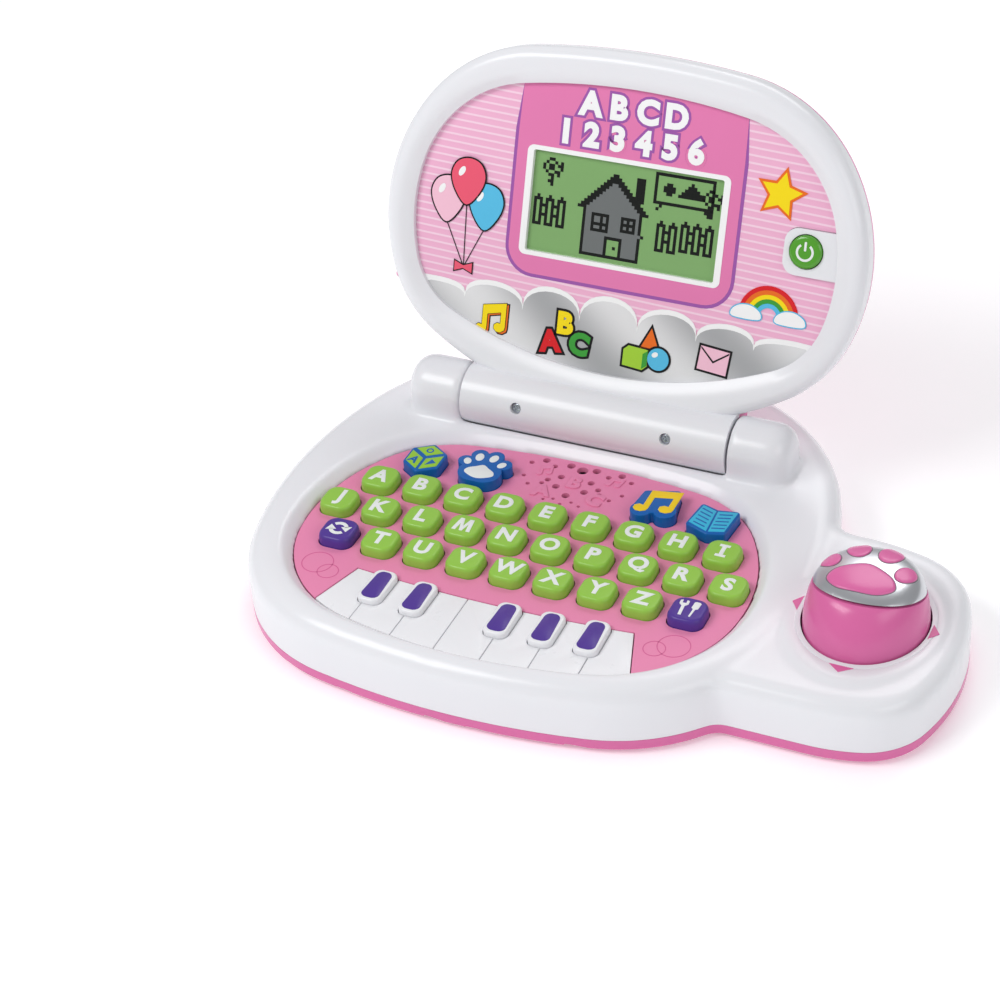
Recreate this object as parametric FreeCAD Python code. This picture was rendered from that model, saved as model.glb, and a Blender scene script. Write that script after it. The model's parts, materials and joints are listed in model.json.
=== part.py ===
"""Toy laptop computer: a clamshell base with a keyboard, a piano strip and a tilting mouse,
and a hinged lid with a screen.

Every sub-part is modelled in the hinge frame, in millimetres: X = 0 is the middle of the
keyboard, the lid's hinge axis runs along X at Y = 0 and Z = HINGE_Z, +Y is the carrying
handle's side, and Z = 0 is the table.  At the end the whole toy is moved so that the origin
is the middle of the rectangle that it covers, at table height.
"""
import FreeCAD, Part
import math
import os

V = FreeCAD.Vector
X_AXIS = V(1, 0, 0)
Y_AXIS = V(0, 1, 0)
Z_AXIS = V(0, 0, 1)

# ---- driving dimensions -------------------------------------------------------------------
# An outline is half an oval: its far end on the mid-line, then (radius, sweep in degrees) of
# each tangent arc towards +X.  The arc that closes it on the mid-line is worked out.
BODY_TOP = 64.9
BODY_ARCS = [(200, 10.5), (98.5, 59.5), (182, 34.5), (72.3, 64.8)]
GRIP_TOP = 44.5
GRIP_ARCS = [(113, 14), (45, 45.5), (3, 119)]
PANEL_TOP = -16.2
PANEL_ARCS = [(350, 8.6), (48, 48.1), (83, 41.5), (58.4, 68.2)]
LID_TOP = 158.9
LID_ARCS = [(390, 7), (68.6, 46.9), (81.7, 58.4), (53.3, 36.5)]
SCREEN_TOP = 143.8
SCREEN_ARCS = [(298, 9.8), (55, 66.1), (79.5, 30), (35, 49.9)]
POD_START = V(128.4, -25.0, 0)
POD_ARCS = [(105, 16.5), (36.3, 55.5), (95, 37.5), (30, 54.5), (76, 16)]

WALL = 2.5
FLOOR_Z = 1.2
PART_LINE_Z = 7.0
CASING_TOP_Z = 31.3
POD_TOP_Z = 29.6
PLATEAU_TOP_Z = 31.3
CASING_ROUND = 9.0
POD_ROUND = 7.5
GRIP_ROUND = 5.0
JUNCTION_ROUND = 10.0
JUNCTION_BACK = V(116, -25, 0)
JUNCTION_FRONT = V(100, -136, 0)
JUNCTION_REACH = 9.0
KNUCKLE_ROUND = 9.0

HINGE_Z = 40.3
BARREL_R = 13.5
BARREL_HALF = 62.0
BARREL_GAP = 0.5
KNUCKLE_END = 89.5
PIN_R = 4.0
PIN_BORE_R = 4.06
PIN_END = 72.0
LID_OPEN_DEG = 111.0

LID_SEAM_N = -2.0
RIM_SEAM_N = -6.5
LID_BACK_N = -14.3
LID_BACK_ROUND = 7.5
LID_RIM_N = 4.5
LID_RIM_ROUND = 5.5
RIM_SLOPE = 5.2
RIM_SLOPE_FOOT_N = 1.4
LID_WALL = 2.4
SCREEN_FACE_N = -1.0
SCREEN_SHEET = 1.2
NECK_FRONT_N = 1.0
NECK_BACK_N = -13.5
NECK_TOP_S = 24.0
LCD_W = 93.0
LCD_H = 48.2
LCD_S = 89.7
LCD_GLASS_W = 87.2
LCD_GLASS_H = 44.2
POWER_X = 82.8
POWER_S = 88.1
POWER_R = 7.2
POWER_TRAVEL = 1.0
TAB_X = 73.0
TAB_HALF = 10.0
LID_SCREW_X = 35.0

PANEL_Z = 26.2
PANEL_UNDER_Z = 23.7
KEY_TOP_Z = 31.2
KEY_FLANGE_Z = 22.3
KEY_PITCH_X = 19.7
KEY_PITCH_Y = 20.1
KEY_SIZE = 15.4
KEY_CORNER = 4.6
KEY_ROW_Y = -60.1
KEY_GAP = 0.35
KEY_LIP = 0.5
WHITE_KEY_Z = 26.1
BLACK_KEY_Z = 28.6
PIANO_PITCH = 19.8
PIANO_BACK_Y = -119.7
PIANO_BACK_RISE = 3.0
PIANO_BACK_HALF = 61.8
PIANO_FRONT_HALF = 70.0
PIANO_GAP = 0.5
BLACK_KEY_W = 10.6
BLACK_KEY_L = 20.6

MOUSE_X = 147.3
MOUSE_Y = -82.0
MOUSE_HOLE = (25.8, 29.3)
PLATEAU = (32.0, 41.0)
PLATEAU_MIDDLE = (146.8, -81.8)
GIMBAL_Z = 30.0
GIMBAL_RING = (15.0, 10.5)
GIMBAL_PIN_R = 2.0
GIMBAL_BORE_R = 2.06
GIMBAL_REACH = 19.5
MOUSE_FLANGE = (26.9, 30.3)
MOUSE_FLANGE_IN = (22.7, 26.2)
MOUSE_FLANGE_Z = (24.5, 25.6)
# height, half width, half depth and middle Y of the mouse's sections
MOUSE_SECTIONS = [
    (24.5, 25.0, 28.5, -82.0),
    (28.0, 25.0, 28.5, -82.0),
    (31.3, 25.0, 28.4, -82.0),
    (39.0, 24.3, 26.6, -81.8),
    (46.0, 22.6, 23.8, -81.2),
    (49.0, 21.2, 21.8, -81.0),
    (51.5, 18.8, 19.0, -80.6),
    (53.2, 15.2, 15.0, -80.2),
    (54.2, 9.5, 9.0, -80.0),
]
CAP_FRONT = V(0, -97.0, 51.5)
CAP_TILT_DEG = 17.0
CAP_TRAVEL = 0.8
STEM_BACK = 16.0

CELL_R = 7.2
CELL_L = 49.2
CELL_PITCH = 15.4
CELL_Z = 10.3
WELL_Y = -92.0
WELL_L = 57.0
WELL_W = 47.0
WELL_ROOF_Z = 17.6
DOOR_LEDGE = 1.2
BOARD_Z = 18.9
BOARD_T = 1.6
SPEAKER_Y = -33.5
SPEAKER_R = 17.0
FOOT_R = 6.0
FOOT_SPOTS = [(-92, -106), (92, -106), (-92, 10), (92, 10), (158, -108), (158, -52), (-40, 49), (40, 49)]
SCREW_SPOTS = [(-106, -40), (106, -40), (-101, -120), (101, -120), (0, 54.6), (150, -125)]
SCREW_HEAD_R = 3.4
SCREW_HOLE_R = 1.6
THREAD_R = 1.25
BOSS_R = 4.4


# ---- helpers --------------------------------------------------------------------------------
def add_arc(edges, point, heading, radius, turn):
    """Append one arc that turns clockwise from the heading, and return its end and heading."""
    def right_of(angle):
        return V(-math.sin(angle), -math.cos(angle), 0)
    centre = point + right_of(heading) * radius
    middle = centre - right_of(heading + turn / 2) * radius
    end = centre - right_of(heading + turn) * radius
    edges.append(Part.Arc(point, middle, end).toShape())
    return end, heading + turn


def oval(top, arcs, grow=0.0, z=0.0):
    """Face inside an outline that is the same both sides of X = 0."""
    point = V(0, top + grow, z)
    heading = 0.0
    edges = []
    for radius, sweep in arcs:
        point, heading = add_arc(edges, point, heading, radius + grow, math.radians(sweep))
    add_arc(edges, point, heading, point.x / math.sin(heading), math.pi - heading)
    other = [edge.mirror(V(0, 0, 0), X_AXIS) for edge in edges]
    return Part.Face(Part.Wire(Part.__sortEdges__(edges + other)))


def pod(grow=0.0, z=0.0):
    """Face of the mouse's side pod: a chain of arcs closed inside the main body."""
    point = POD_START + V(0, grow, z)
    root = V(MOUSE_X - 70, point.y, z)
    heading = 0.0
    edges = [Part.makeLine(root, point)]
    for radius, sweep in POD_ARCS:
        point, heading = add_arc(edges, point, heading, radius + grow, math.radians(sweep))
    foot = V(root.x, point.y, z)
    edges.append(Part.makeLine(point, foot))
    edges.append(Part.makeLine(foot, root))
    return Part.Face(Part.Wire(edges))


def ellipse(centre_x, centre_y, half_x, half_y, z=0.0):
    """Wire of an upright or wide ellipse."""
    middle = V(centre_x, centre_y, z)
    if half_x >= half_y:
        curve = Part.Ellipse(middle + V(half_x, 0, 0), middle + V(0, half_y, 0), middle)
    else:
        curve = Part.Ellipse(middle + V(0, half_y, 0), middle + V(-half_x, 0, 0), middle)
    return Part.Wire([curve.toShape()])


def slab(face, low, high):
    """Prism on a face drawn at Z = 0."""
    solid = face.extrude(V(0, 0, high - low))
    solid.translate(V(0, 0, low))
    return solid


def box(x0, x1, y0, y1, z0, z1):
    """Box between two corners."""
    return Part.makeBox(x1 - x0, y1 - y0, z1 - z0, V(x0, y0, z0))


def cylinder(radius, low, high, x=0.0, y=0.0):
    """Upright cylinder."""
    return Part.makeCylinder(radius, high - low, V(x, y, low))


def cross_cylinder(radius, x0, x1, y=0.0, z=0.0):
    """Cylinder along X."""
    return Part.makeCylinder(radius, x1 - x0, V(x0, y, z), X_AXIS)


def level_edges(shape, z):
    """Edges of a shape that lie flat at one height."""
    def is_level(edge):
        bounds = edge.BoundBox
        return abs(bounds.ZMin - z) < 1e-4 and abs(bounds.ZMax - z) < 1e-4
    return [edge for edge in shape.Edges if is_level(edge)]


def rounded_rectangle(width, height, corner, x=0.0, y=0.0):
    """Face of a rectangle with round corners, about its middle."""
    plain = Part.makePlane(width, height, V(x - width / 2, y - height / 2, 0))
    prism = plain.extrude(V(0, 0, 1))
    uprights = [edge for edge in prism.Edges if edge.BoundBox.ZLength > 0.5]
    prism = prism.makeFillet(corner, uprights)
    return Part.Face(Part.Wire(Part.__sortEdges__(level_edges(prism, 0.0))))


def fused(shapes):
    """One solid from several that overlap."""
    whole = shapes[0].multiFuse(shapes[1:]) if len(shapes) > 1 else shapes[0]
    return whole.removeSplitter()


# ---- casing outlines ------------------------------------------------------------------------
def junction(bottom, top, grow):
    """Body and pod in plan as one prism, with the two inside corners rounded."""
    body = slab(oval(BODY_TOP, BODY_ARCS, grow), bottom, top)
    joined = fused([body, slab(pod(grow), bottom, top)])
    uprights = [edge for edge in joined.Edges if edge.BoundBox.ZLength > 0.9 * (top - bottom)]
    inside = [edge for edge in uprights if is_inside_corner(edge)]
    return joined.makeFillet(JUNCTION_ROUND - grow, inside)


def is_inside_corner(edge):
    """True for the two upright edges where the pod meets the main body."""
    middle = edge.BoundBox.Center
    middle.z = 0
    corners = (JUNCTION_BACK, JUNCTION_FRONT)
    return any(middle.distanceToPoint(corner) < JUNCTION_REACH for corner in corners)


def casing_form(bottom, inset):
    """Closed outer form of the casing, or its cavity when it is inset."""
    high = CASING_TOP_Z - inset
    grip = slab(oval(GRIP_TOP, GRIP_ARCS, inset), bottom, high)
    body = slab(oval(BODY_TOP, BODY_ARCS, -inset), bottom, high)
    body = body.makeFillet(CASING_ROUND - inset, level_edges(body, high))
    body = body.cut(grip)
    rim = [edge for edge in level_edges(body, high) if edge.BoundBox.YMin > 10]
    body = body.makeFillet(GRIP_ROUND - inset / 2, rim)
    shoulder_z = POD_TOP_Z - inset
    shoulder = junction(bottom, shoulder_z, -inset)
    shoulder = shoulder.makeFillet(POD_ROUND - inset, level_edges(shoulder, shoulder_z))
    shoulder = shoulder.cut(slab(oval(GRIP_TOP, GRIP_ARCS, inset + GRIP_ROUND), bottom, high))
    step_z = PLATEAU_TOP_Z - inset
    half_x, half_y = PLATEAU[0] - inset, PLATEAU[1] - inset
    plateau = slab(Part.Face(ellipse(*PLATEAU_MIDDLE, half_x, half_y)), bottom, step_z)
    plateau = plateau.makeFillet(2.0, level_edges(plateau, step_z))
    return fused([body, shoulder, plateau])


def knuckle(side):
    """Fixed half of the hinge on one side, rounded at its outer end."""
    length = KNUCKLE_END - BARREL_HALF - BARREL_GAP
    barrel = cross_cylinder(BARREL_R, 0, length, 0, HINGE_Z)
    rim = [edge for edge in barrel.Edges if edge.BoundBox.XMin > length - 1e-3]
    barrel = barrel.makeFillet(KNUCKLE_ROUND, rim)
    block = box(0, length, -BARREL_R, BARREL_R, CASING_TOP_Z - 6, HINGE_Z)
    outer_end = [edge for edge in block.Edges if edge.BoundBox.XMin > length - 1e-3]
    corners = [edge for edge in outer_end if edge.BoundBox.ZLength > 1]
    block = block.makeFillet(KNUCKLE_ROUND, corners)
    solid = fused([barrel, block])
    solid.translate(V(BARREL_HALF + BARREL_GAP, 0, 0))
    return solid if side > 0 else solid.mirror(V(0, 0, 0), X_AXIS)


# ---- base -----------------------------------------------------------------------------------
def base_upper_casing():
    """White top half of the base with the handle, the hinge knuckles and the mouse's pod."""
    outer = casing_form(PART_LINE_Z, 0.0)
    shell = outer.cut(casing_form(PART_LINE_Z - 1, WALL))
    well = slab(oval(PANEL_TOP, PANEL_ARCS, 8.0), PANEL_UNDER_Z, CASING_TOP_Z).common(outer)
    trough = cross_cylinder(BARREL_R + 2.9, -BARREL_HALF - 1, BARREL_HALF + 1, 0, HINGE_Z)
    trough = trough.common(outer)
    bosses = [cylinder(BOSS_R, PART_LINE_Z, CASING_TOP_Z - 1, *spot) for spot in SCREW_SPOTS]
    bosses = [boss.common(outer) for boss in bosses]
    bores = [cylinder(THREAD_R, PART_LINE_Z - 1, POD_TOP_Z - 6, *spot) for spot in SCREW_SPOTS]
    casing = fused([shell, well, trough, knuckle(-1), knuckle(1)] + bosses)
    opening = slab(oval(PANEL_TOP, PANEL_ARCS), PANEL_UNDER_Z - 1, CASING_TOP_Z + 1)
    low_rim = oval(PANEL_TOP, PANEL_ARCS, 0.4, PANEL_Z + 0.3).OuterWire
    high_rim = oval(PANEL_TOP, PANEL_ARCS, 5.6, CASING_TOP_Z + 0.5).OuterWire
    slope = Part.makeLoft([low_rim, high_rim], True, True)
    mouse_hole = slab(Part.Face(ellipse(MOUSE_X, MOUSE_Y, *MOUSE_HOLE)), POD_TOP_Z - 6, 40)
    room_half = BARREL_HALF + BARREL_GAP
    barrel_room = cross_cylinder(BARREL_R + 0.4, -room_half, room_half, 0, HINGE_Z)
    pin_bore = cross_cylinder(PIN_BORE_R, -PIN_END - 0.5, PIN_END + 0.5, 0, HINGE_Z)
    cutters = [opening, slope, mouse_hole, barrel_room, pin_bore] + bores
    return casing.cut(cutters)


def base_lower_casing():
    """Pink tray with moulded feet, the battery well and the posts that carry the gimbal."""
    outer = junction(FLOOR_Z, PART_LINE_Z, 0.0)
    outer = outer.makeFillet(2.5, level_edges(outer, FLOOR_Z))
    outer = outer.cut(slab(oval(GRIP_TOP, GRIP_ARCS), 0, 10))
    cavity = junction(FLOOR_Z + 2.2, PART_LINE_Z + 1, -WALL)
    cavity = cavity.cut(slab(oval(GRIP_TOP, GRIP_ARCS, WALL), 0, 10))
    feet = [cylinder(FOOT_R, 0, FLOOR_Z + 1, x, y) for x, y in FOOT_SPOTS]
    feet = [foot.makeFillet(0.6, level_edges(foot, 0.0)) for foot in feet]
    well = well_box(1.6, FLOOR_Z + 1, WELL_ROOF_Z + 1.2)
    well_room = well_box(0.0, 0, WELL_ROOF_Z)
    door_room = well_box(DOOR_LEDGE + 0.2, 0, FLOOR_Z + 1.4)
    posts = []
    for side in (-1, 1):
        x0 = MOUSE_X + side * GIMBAL_REACH - 2.5
        posts.append(box(x0, x0 + 5, MOUSE_Y - 3.5, MOUSE_Y + 3.5, FLOOR_Z + 1, GIMBAL_Z + 3.2))
    bearing = cross_cylinder(GIMBAL_BORE_R, MOUSE_X - 30, MOUSE_X + 30, MOUSE_Y, GIMBAL_Z)
    bosses = [cylinder(BOSS_R, FLOOR_Z + 1, PART_LINE_Z, *spot) for spot in SCREW_SPOTS]
    holes = [cylinder(SCREW_HOLE_R, 0, PART_LINE_Z + 1, *spot) for spot in SCREW_SPOTS]
    heads = [cylinder(SCREW_HEAD_R, 0, FLOOR_Z + 2.6, *spot) for spot in SCREW_SPOTS]
    tray = fused([outer.cut(cavity), well] + feet + bosses + posts)
    return tray.cut([well_room, door_room, bearing] + holes + heads)


def well_box(grow, low, high):
    """Box on the battery well's outline, grown sideways."""
    half_l = WELL_L / 2 + grow
    half_w = WELL_W / 2 + grow
    return box(-half_l, half_l, WELL_Y - half_w, WELL_Y + half_w, low, high)


def battery_door():
    """Plate that closes the battery well."""
    plate = well_box(DOOR_LEDGE, FLOOR_Z, FLOOR_Z + 1.3)
    uprights = [edge for edge in plate.Edges if edge.BoundBox.ZLength > 1]
    return plate.makeFillet(1.5, uprights)


def batteries():
    """Three cells side by side in the well, each with its raised end."""
    cells = []
    for row in (-1, 0, 1):
        y = WELL_Y + row * CELL_PITCH
        side = -1 if row == 0 else 1
        body = cross_cylinder(CELL_R, -CELL_L / 2, CELL_L / 2, y, CELL_Z)
        x0 = CELL_L / 2 - 0.1 if side > 0 else -CELL_L / 2 - 1.0
        cells.append(body.fuse(cross_cylinder(2.7, x0, x0 + 1.1, y, CELL_Z)).removeSplitter())
    return Part.makeCompound(cells)


def circuit_board():
    """Board under all the keys, open around the loudspeaker."""
    board = slab(oval(PANEL_TOP, PANEL_ARCS, -5.0), BOARD_Z, BOARD_Z + BOARD_T)
    return board.cut(cylinder(SPEAKER_R + 1.2, 0, 40, 0, SPEAKER_Y))


def speaker():
    """Round loudspeaker facing the grille: rim, basket, cone hollow and magnet."""
    rim = cylinder(SPEAKER_R, 20.4, PANEL_UNDER_Z - 1.6, 0, SPEAKER_Y)
    basket = Part.makeCone(9.5, SPEAKER_R - 1.0, 8.4, V(0, SPEAKER_Y, 12.0))
    magnet = cylinder(9.5, 7.5, 12.0, 0, SPEAKER_Y)
    hollow = Part.makeCone(5.0, SPEAKER_R - 2.5, 6.0, V(0, SPEAKER_Y, PANEL_UNDER_Z - 7.6 + 0.01))
    return fused([rim, basket, magnet]).cut(hollow)


# ---- keys -----------------------------------------------------------------------------------
def offset_face(face, grow):
    """The face grown outwards, with round corners."""
    if grow == 0:
        return face
    return Part.Face(face.OuterWire.makeOffset2D(grow))


def key_solid(face, top_z, edge_round):
    """Key cap on an outline, with a lip below the panel that keeps it in."""
    cap = slab(face, KEY_FLANGE_Z, top_z)
    if edge_round:
        cap = cap.makeFillet(edge_round, level_edges(cap, top_z))
    lip = slab(offset_face(face, KEY_LIP), KEY_FLANGE_Z, PANEL_UNDER_Z - 0.2)
    return fused([cap, lip])


def letter_spots():
    """Place of every square key: name, X and Y."""
    rows = [("ABCDEFGHI", 4.0), ("JKLMNOPQRS", 4.5), ("<TUVWXYZ>", 4.0)]
    names = {"<": "repeat_key", ">": "tools_key"}
    spots = []
    for row, (letters, middle) in enumerate(rows):
        for column, letter in enumerate(letters):
            name = names.get(letter, "key_" + letter.lower())
            x = (column - middle) * KEY_PITCH_X
            spots.append((name, x, KEY_ROW_Y - row * KEY_PITCH_Y))
    return spots


def disc(x, y, radius):
    """Round face."""
    return Part.Face(Part.Wire([Part.makeCircle(radius, V(x, y, 0))]))


def polygon(points, corner=0.0, x=0.0, y=0.0):
    """Face inside straight edges, with its corners rounded."""
    corners = [V(px + x, py + y, 0) for px, py in points]
    face = Part.Face(Part.makePolygon(corners + corners[:1]))
    if corner == 0:
        return face
    prism = face.extrude(V(0, 0, 1))
    uprights = [edge for edge in prism.Edges if edge.BoundBox.ZLength > 0.5]
    prism = prism.makeFillet(corner, uprights)
    return Part.Face(Part.Wire(Part.__sortEdges__(level_edges(prism, 0.0))))


def union_face(faces):
    """One face from overlapping faces."""
    prism = fused([face.extrude(V(0, 0, 1)) for face in faces])
    return Part.Face(Part.Wire(Part.__sortEdges__(level_edges(prism, 0.0))))


def block_outline():
    """Hexagon of a toy block seen from one corner."""
    points = [(-8.6, 4.4), (0, 10.0), (8.6, 4.4), (8.6, -6.0), (0, -11.5), (-8.6, -6.0)]
    return polygon(points, 2.0, -66.0, -41.0)


def paw_outline():
    """Paw: a broad pad and four toes."""
    x, y = -39.8, -39.4
    pad = rounded_rectangle(19.4, 14.4, 6.9, x + 0.6, y - 3.9)
    toes = [(-8.6, 2.0, 3.5), (-4.2, 7.4, 3.9), (3.0, 8.2, 3.9), (8.9, 4.0, 3.5), (-0.4, 3.4, 6.4)]
    return union_face([pad] + [disc(x + tx, y + ty, r) for tx, ty, r in toes])


def note_outline():
    """Pair of joined music notes: two heads, two stems and a beam."""
    x, y = 41.8, -38.4
    heads = [disc(x - 5.2, y - 6.2, 4.9), disc(x + 4.8, y - 4.6, 4.9)]
    beam = polygon([(-8.4, 6.4), (6.6, 11.0), (9.4, -5.0), (-0.4, -7.6), (-9.8, -6.6)], 1.6, x, y)
    return union_face(heads + [beam])


def book_outline():
    """Open book: two pages that dip at the fold."""
    points = [(-8.2, 9.0), (-0.2, 6.4), (9.6, 8.2), (8.2, -8.8), (0.6, -11.0), (-10.2, -6.8)]
    return polygon(points, 1.6, 67.6, -40.8)


ACTIVITY_KEYS = {
    "block_key": block_outline,
    "paw_key": paw_outline,
    "note_key": note_outline,
    "book_key": book_outline,
}


def arc_through_back(shift):
    """Back edge of the piano: left end, middle and right end."""
    end_y = PIANO_BACK_Y + PIANO_BACK_RISE + shift
    half = PIANO_BACK_HALF + shift
    return V(-half, end_y, 0), V(0, PIANO_BACK_Y + shift, 0), V(half, end_y, 0)


def piano_field(grow):
    """Fan of all seven white keys, cut off in front by the panel's own oval."""
    left, middle, right = arc_through_back(grow)
    far_right = V(PIANO_FRONT_HALF + 6 + grow, -160, 0)
    far_left = V(-PIANO_FRONT_HALF - 6 - grow, -160, 0)
    edges = [
        Part.Arc(left, middle, right).toShape(),
        Part.makeLine(right, far_right),
        Part.makeLine(far_right, far_left),
        Part.makeLine(far_left, left),
    ]
    return Part.Face(Part.Wire(edges))


def gap_lean(index):
    """X at the back and front of the gap after white key number index."""
    back = (index - 2.5) * PIANO_PITCH
    return back, back * 1.03


def black_key_face(index, grow=0.0):
    """Raised key over the gap after white key number index, leaning with the fan."""
    back, front = gap_lean(index)
    slope = math.degrees(math.atan2(front - back, 60))
    back_y = PIANO_BACK_Y + PIANO_BACK_RISE * (back / PIANO_BACK_HALF) ** 2 + 1.6
    face = rounded_rectangle(BLACK_KEY_W, BLACK_KEY_L, 3.6, 0, -BLACK_KEY_L / 2)
    face.rotate(V(0, 0, 0), Z_AXIS, slope)
    face.translate(V(back * 0.96, back_y, 0))
    return offset_face(face, grow)


BLACK_KEY_GAPS = [0, 1, 3, 4, 5]


def white_key(index):
    """One white key, notched for the raised keys beside it."""
    field = slab(piano_field(0.0), KEY_FLANGE_Z, WHITE_KEY_Z)
    key = field.common(slab(oval(PANEL_TOP, PANEL_ARCS, -0.35), KEY_FLANGE_Z, WHITE_KEY_Z))
    lefts = gap_lean(index - 1) if index > 0 else (-200, -200)
    rights = gap_lean(index) if index < 6 else (200, 200)
    half = PIANO_GAP / 2
    strip = polygon([(lefts[0] + half, -110), (rights[0] - half, -110),
                     (rights[1] - half, -162), (lefts[1] + half, -162)])
    key = key.common(slab(strip, KEY_FLANGE_Z - 1, WHITE_KEY_Z + 1))
    for gap in BLACK_KEY_GAPS:
        if gap in (index - 1, index):
            key = key.cut(slab(black_key_face(gap, KEY_GAP), KEY_FLANGE_Z - 1, WHITE_KEY_Z + 1))
    return key


def black_key(index):
    """One raised piano key."""
    cap = slab(black_key_face(index), KEY_FLANGE_Z, BLACK_KEY_Z)
    return cap.makeFillet(1.2, level_edges(cap, BLACK_KEY_Z))


GRILLE_HOLES = [(0, -21.7, 2.5), (6.0, -20.0, 1.9), (17.8, -19.8, 1.7), (7.0, -28.9, 1.6),
                (11.8, -32.6, 1.4), (6.6, -36.0, 1.7), (0, -40.8, 1.8), (23.4, -23.1, 1.2),
                (23.0, -33.0, 1.0), (19.0, -38.0, 1.0), (13.4, -35.6, 1.1), (4.2, -44.6, 0.8),
                (8.2, -46.2, 0.8), (0, -47.2, 0.8), (12.6, -22.6, 1.3)]


def keyboard_panel():
    """Pink oval plate with an opening for every key and the loudspeaker's grille."""
    plate = slab(oval(PANEL_TOP, PANEL_ARCS, -0.15), PANEL_UNDER_Z, PANEL_Z)
    flange = slab(oval(PANEL_TOP, PANEL_ARCS, 2.3), PANEL_UNDER_Z - 1.4, PANEL_UNDER_Z)
    inner = slab(oval(PANEL_TOP, PANEL_ARCS, -1.0), PANEL_UNDER_Z - 2, PANEL_UNDER_Z - 0.01)
    panel = fused([plate, flange.cut(inner)])
    openings = []
    for name, x, y in letter_spots():
        size = KEY_SIZE + 2 * KEY_GAP
        openings.append(rounded_rectangle(size, size, KEY_CORNER + KEY_GAP, x, y))
    for outline in ACTIVITY_KEYS.values():
        openings.append(offset_face(outline(), KEY_GAP))
    for x, y, radius in GRILLE_HOLES:
        for side in (-1, 1) if x else (1,):
            openings.append(disc(side * x, y, radius))
    for gap in BLACK_KEY_GAPS:
        openings.append(black_key_face(gap, KEY_GAP))
    cutters = [slab(face, PANEL_UNDER_Z - 5, PANEL_Z + 1) for face in openings]
    fan = slab(piano_field(0.4), PANEL_UNDER_Z - 5, PANEL_Z + 1)
    cutters.append(fan.common(slab(oval(PANEL_TOP, PANEL_ARCS, 0.2), 0, 40)))
    return panel.cut(cutters)


# ---- mouse ----------------------------------------------------------------------------------
def mouse_form(inset, top_z=99.0):
    """Smooth solid of the mouse, or its hollow when inset."""
    wires = []
    for z, half_x, half_y, y in MOUSE_SECTIONS:
        if z <= top_z:
            wires.append(ellipse(MOUSE_X, y, half_x - inset, half_y - inset, z))
    return Part.makeLoft(wires, True, False)


def cap_space(lift):
    """Everything above the slanted split between the mouse's body and its cap."""
    space = box(-60, 60, -60, 80, lift, 60)
    space.rotate(V(0, 0, 0), X_AXIS, -CAP_TILT_DEG)
    space.translate(V(MOUSE_X, CAP_FRONT.y, CAP_FRONT.z))
    return space


def mouse_body():
    """Pink dome of the mouse with the two bosses that hang on the gimbal."""
    hollow = mouse_form(2.2, 39.0).cut(cap_space(-CAP_TRAVEL - 2.4))
    low, high = MOUSE_FLANGE_Z
    flange = slab(Part.Face(ellipse(MOUSE_X, MOUSE_Y, *MOUSE_FLANGE)), low, high)
    middle = slab(Part.Face(ellipse(MOUSE_X, MOUSE_Y, *MOUSE_FLANGE_IN)), low - 1, high + 1)
    flange = flange.cut(middle)
    bosses = []
    for side in (-1, 1):
        y = MOUSE_Y + side * GIMBAL_REACH
        bosses.append(box(MOUSE_X - 3.5, MOUSE_X + 3.5, y - 2.5, y + 2.5, GIMBAL_Z - 3.2, 43.0))
    bearing = Part.makeCylinder(GIMBAL_BORE_R, 60, V(MOUSE_X, MOUSE_Y - 30, GIMBAL_Z), Y_AXIS)
    bearing = bearing.common(box(MOUSE_X - 9, MOUSE_X + 9, MOUSE_Y - 23, MOUSE_Y + 23, 0, 60))
    guide = cap_stem(2.0, 8.3)
    body = fused([mouse_form(0.0).cut(hollow), flange] + bosses)
    return body.cut([bearing, guide, cap_space(-CAP_TRAVEL - 0.2)])


def cap_stem(radius, depth):
    """Peg under the cap, square to the slanted split."""
    stem = Part.makeCylinder(radius, depth + 3, V(0, 0, -depth))
    stem.rotate(V(0, 0, 0), X_AXIS, -CAP_TILT_DEG)
    drop = STEM_BACK * math.tan(math.radians(CAP_TILT_DEG))
    stem.translate(V(MOUSE_X, CAP_FRONT.y + STEM_BACK, CAP_FRONT.z - drop))
    return stem


def mouse_cap():
    """Silver cap that clicks, with its guide peg."""
    form = mouse_form(0.0).common(cap_space(0.0))
    return fused([form, cap_stem(1.7, 6.0)])


def mouse_rocker():
    """Gimbal ring: pins along X rest in the base, pins along Y carry the mouse."""
    outer, inner = GIMBAL_RING
    ring = cylinder(outer, GIMBAL_Z - 2.6, GIMBAL_Z + 2.6, MOUSE_X, MOUSE_Y)
    ring = ring.cut(cylinder(inner, 0, 60, MOUSE_X, MOUSE_Y))
    reach = GIMBAL_REACH + 2.1
    pin_x = cross_cylinder(GIMBAL_PIN_R, MOUSE_X - reach, MOUSE_X + reach, MOUSE_Y, GIMBAL_Z)
    pin_y = Part.makeCylinder(GIMBAL_PIN_R, 2 * reach, V(MOUSE_X, MOUSE_Y - reach, GIMBAL_Z), Y_AXIS)
    pins = fused([pin_x, pin_y]).cut(cylinder(inner + 0.8, 0, 60, MOUSE_X, MOUSE_Y))
    return fused([ring, pins])


# ---- lid, drawn flat: X across, Y = distance from the hinge, Z = out of the screen side ------
def lid_plate(low, high, grow=0.0):
    """Prism on the lid's outline."""
    return slab(oval(LID_TOP, LID_ARCS, grow), low, high)


def screen_prism(low, high, grow=0.0):
    """Prism on the outline of the screen sheet."""
    return slab(oval(SCREEN_TOP, SCREEN_ARCS, grow), low, high)


def power_tab(grow, low, high):
    """Tab of the frame that reaches in around the power button."""
    tab = rounded_rectangle(40, 2 * TAB_HALF, 6.0)
    tab = offset_face(tab, grow)
    tab.translate(V(TAB_X + 20, POWER_S - 0.6, 0))
    return slab(tab, low, high)


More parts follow.
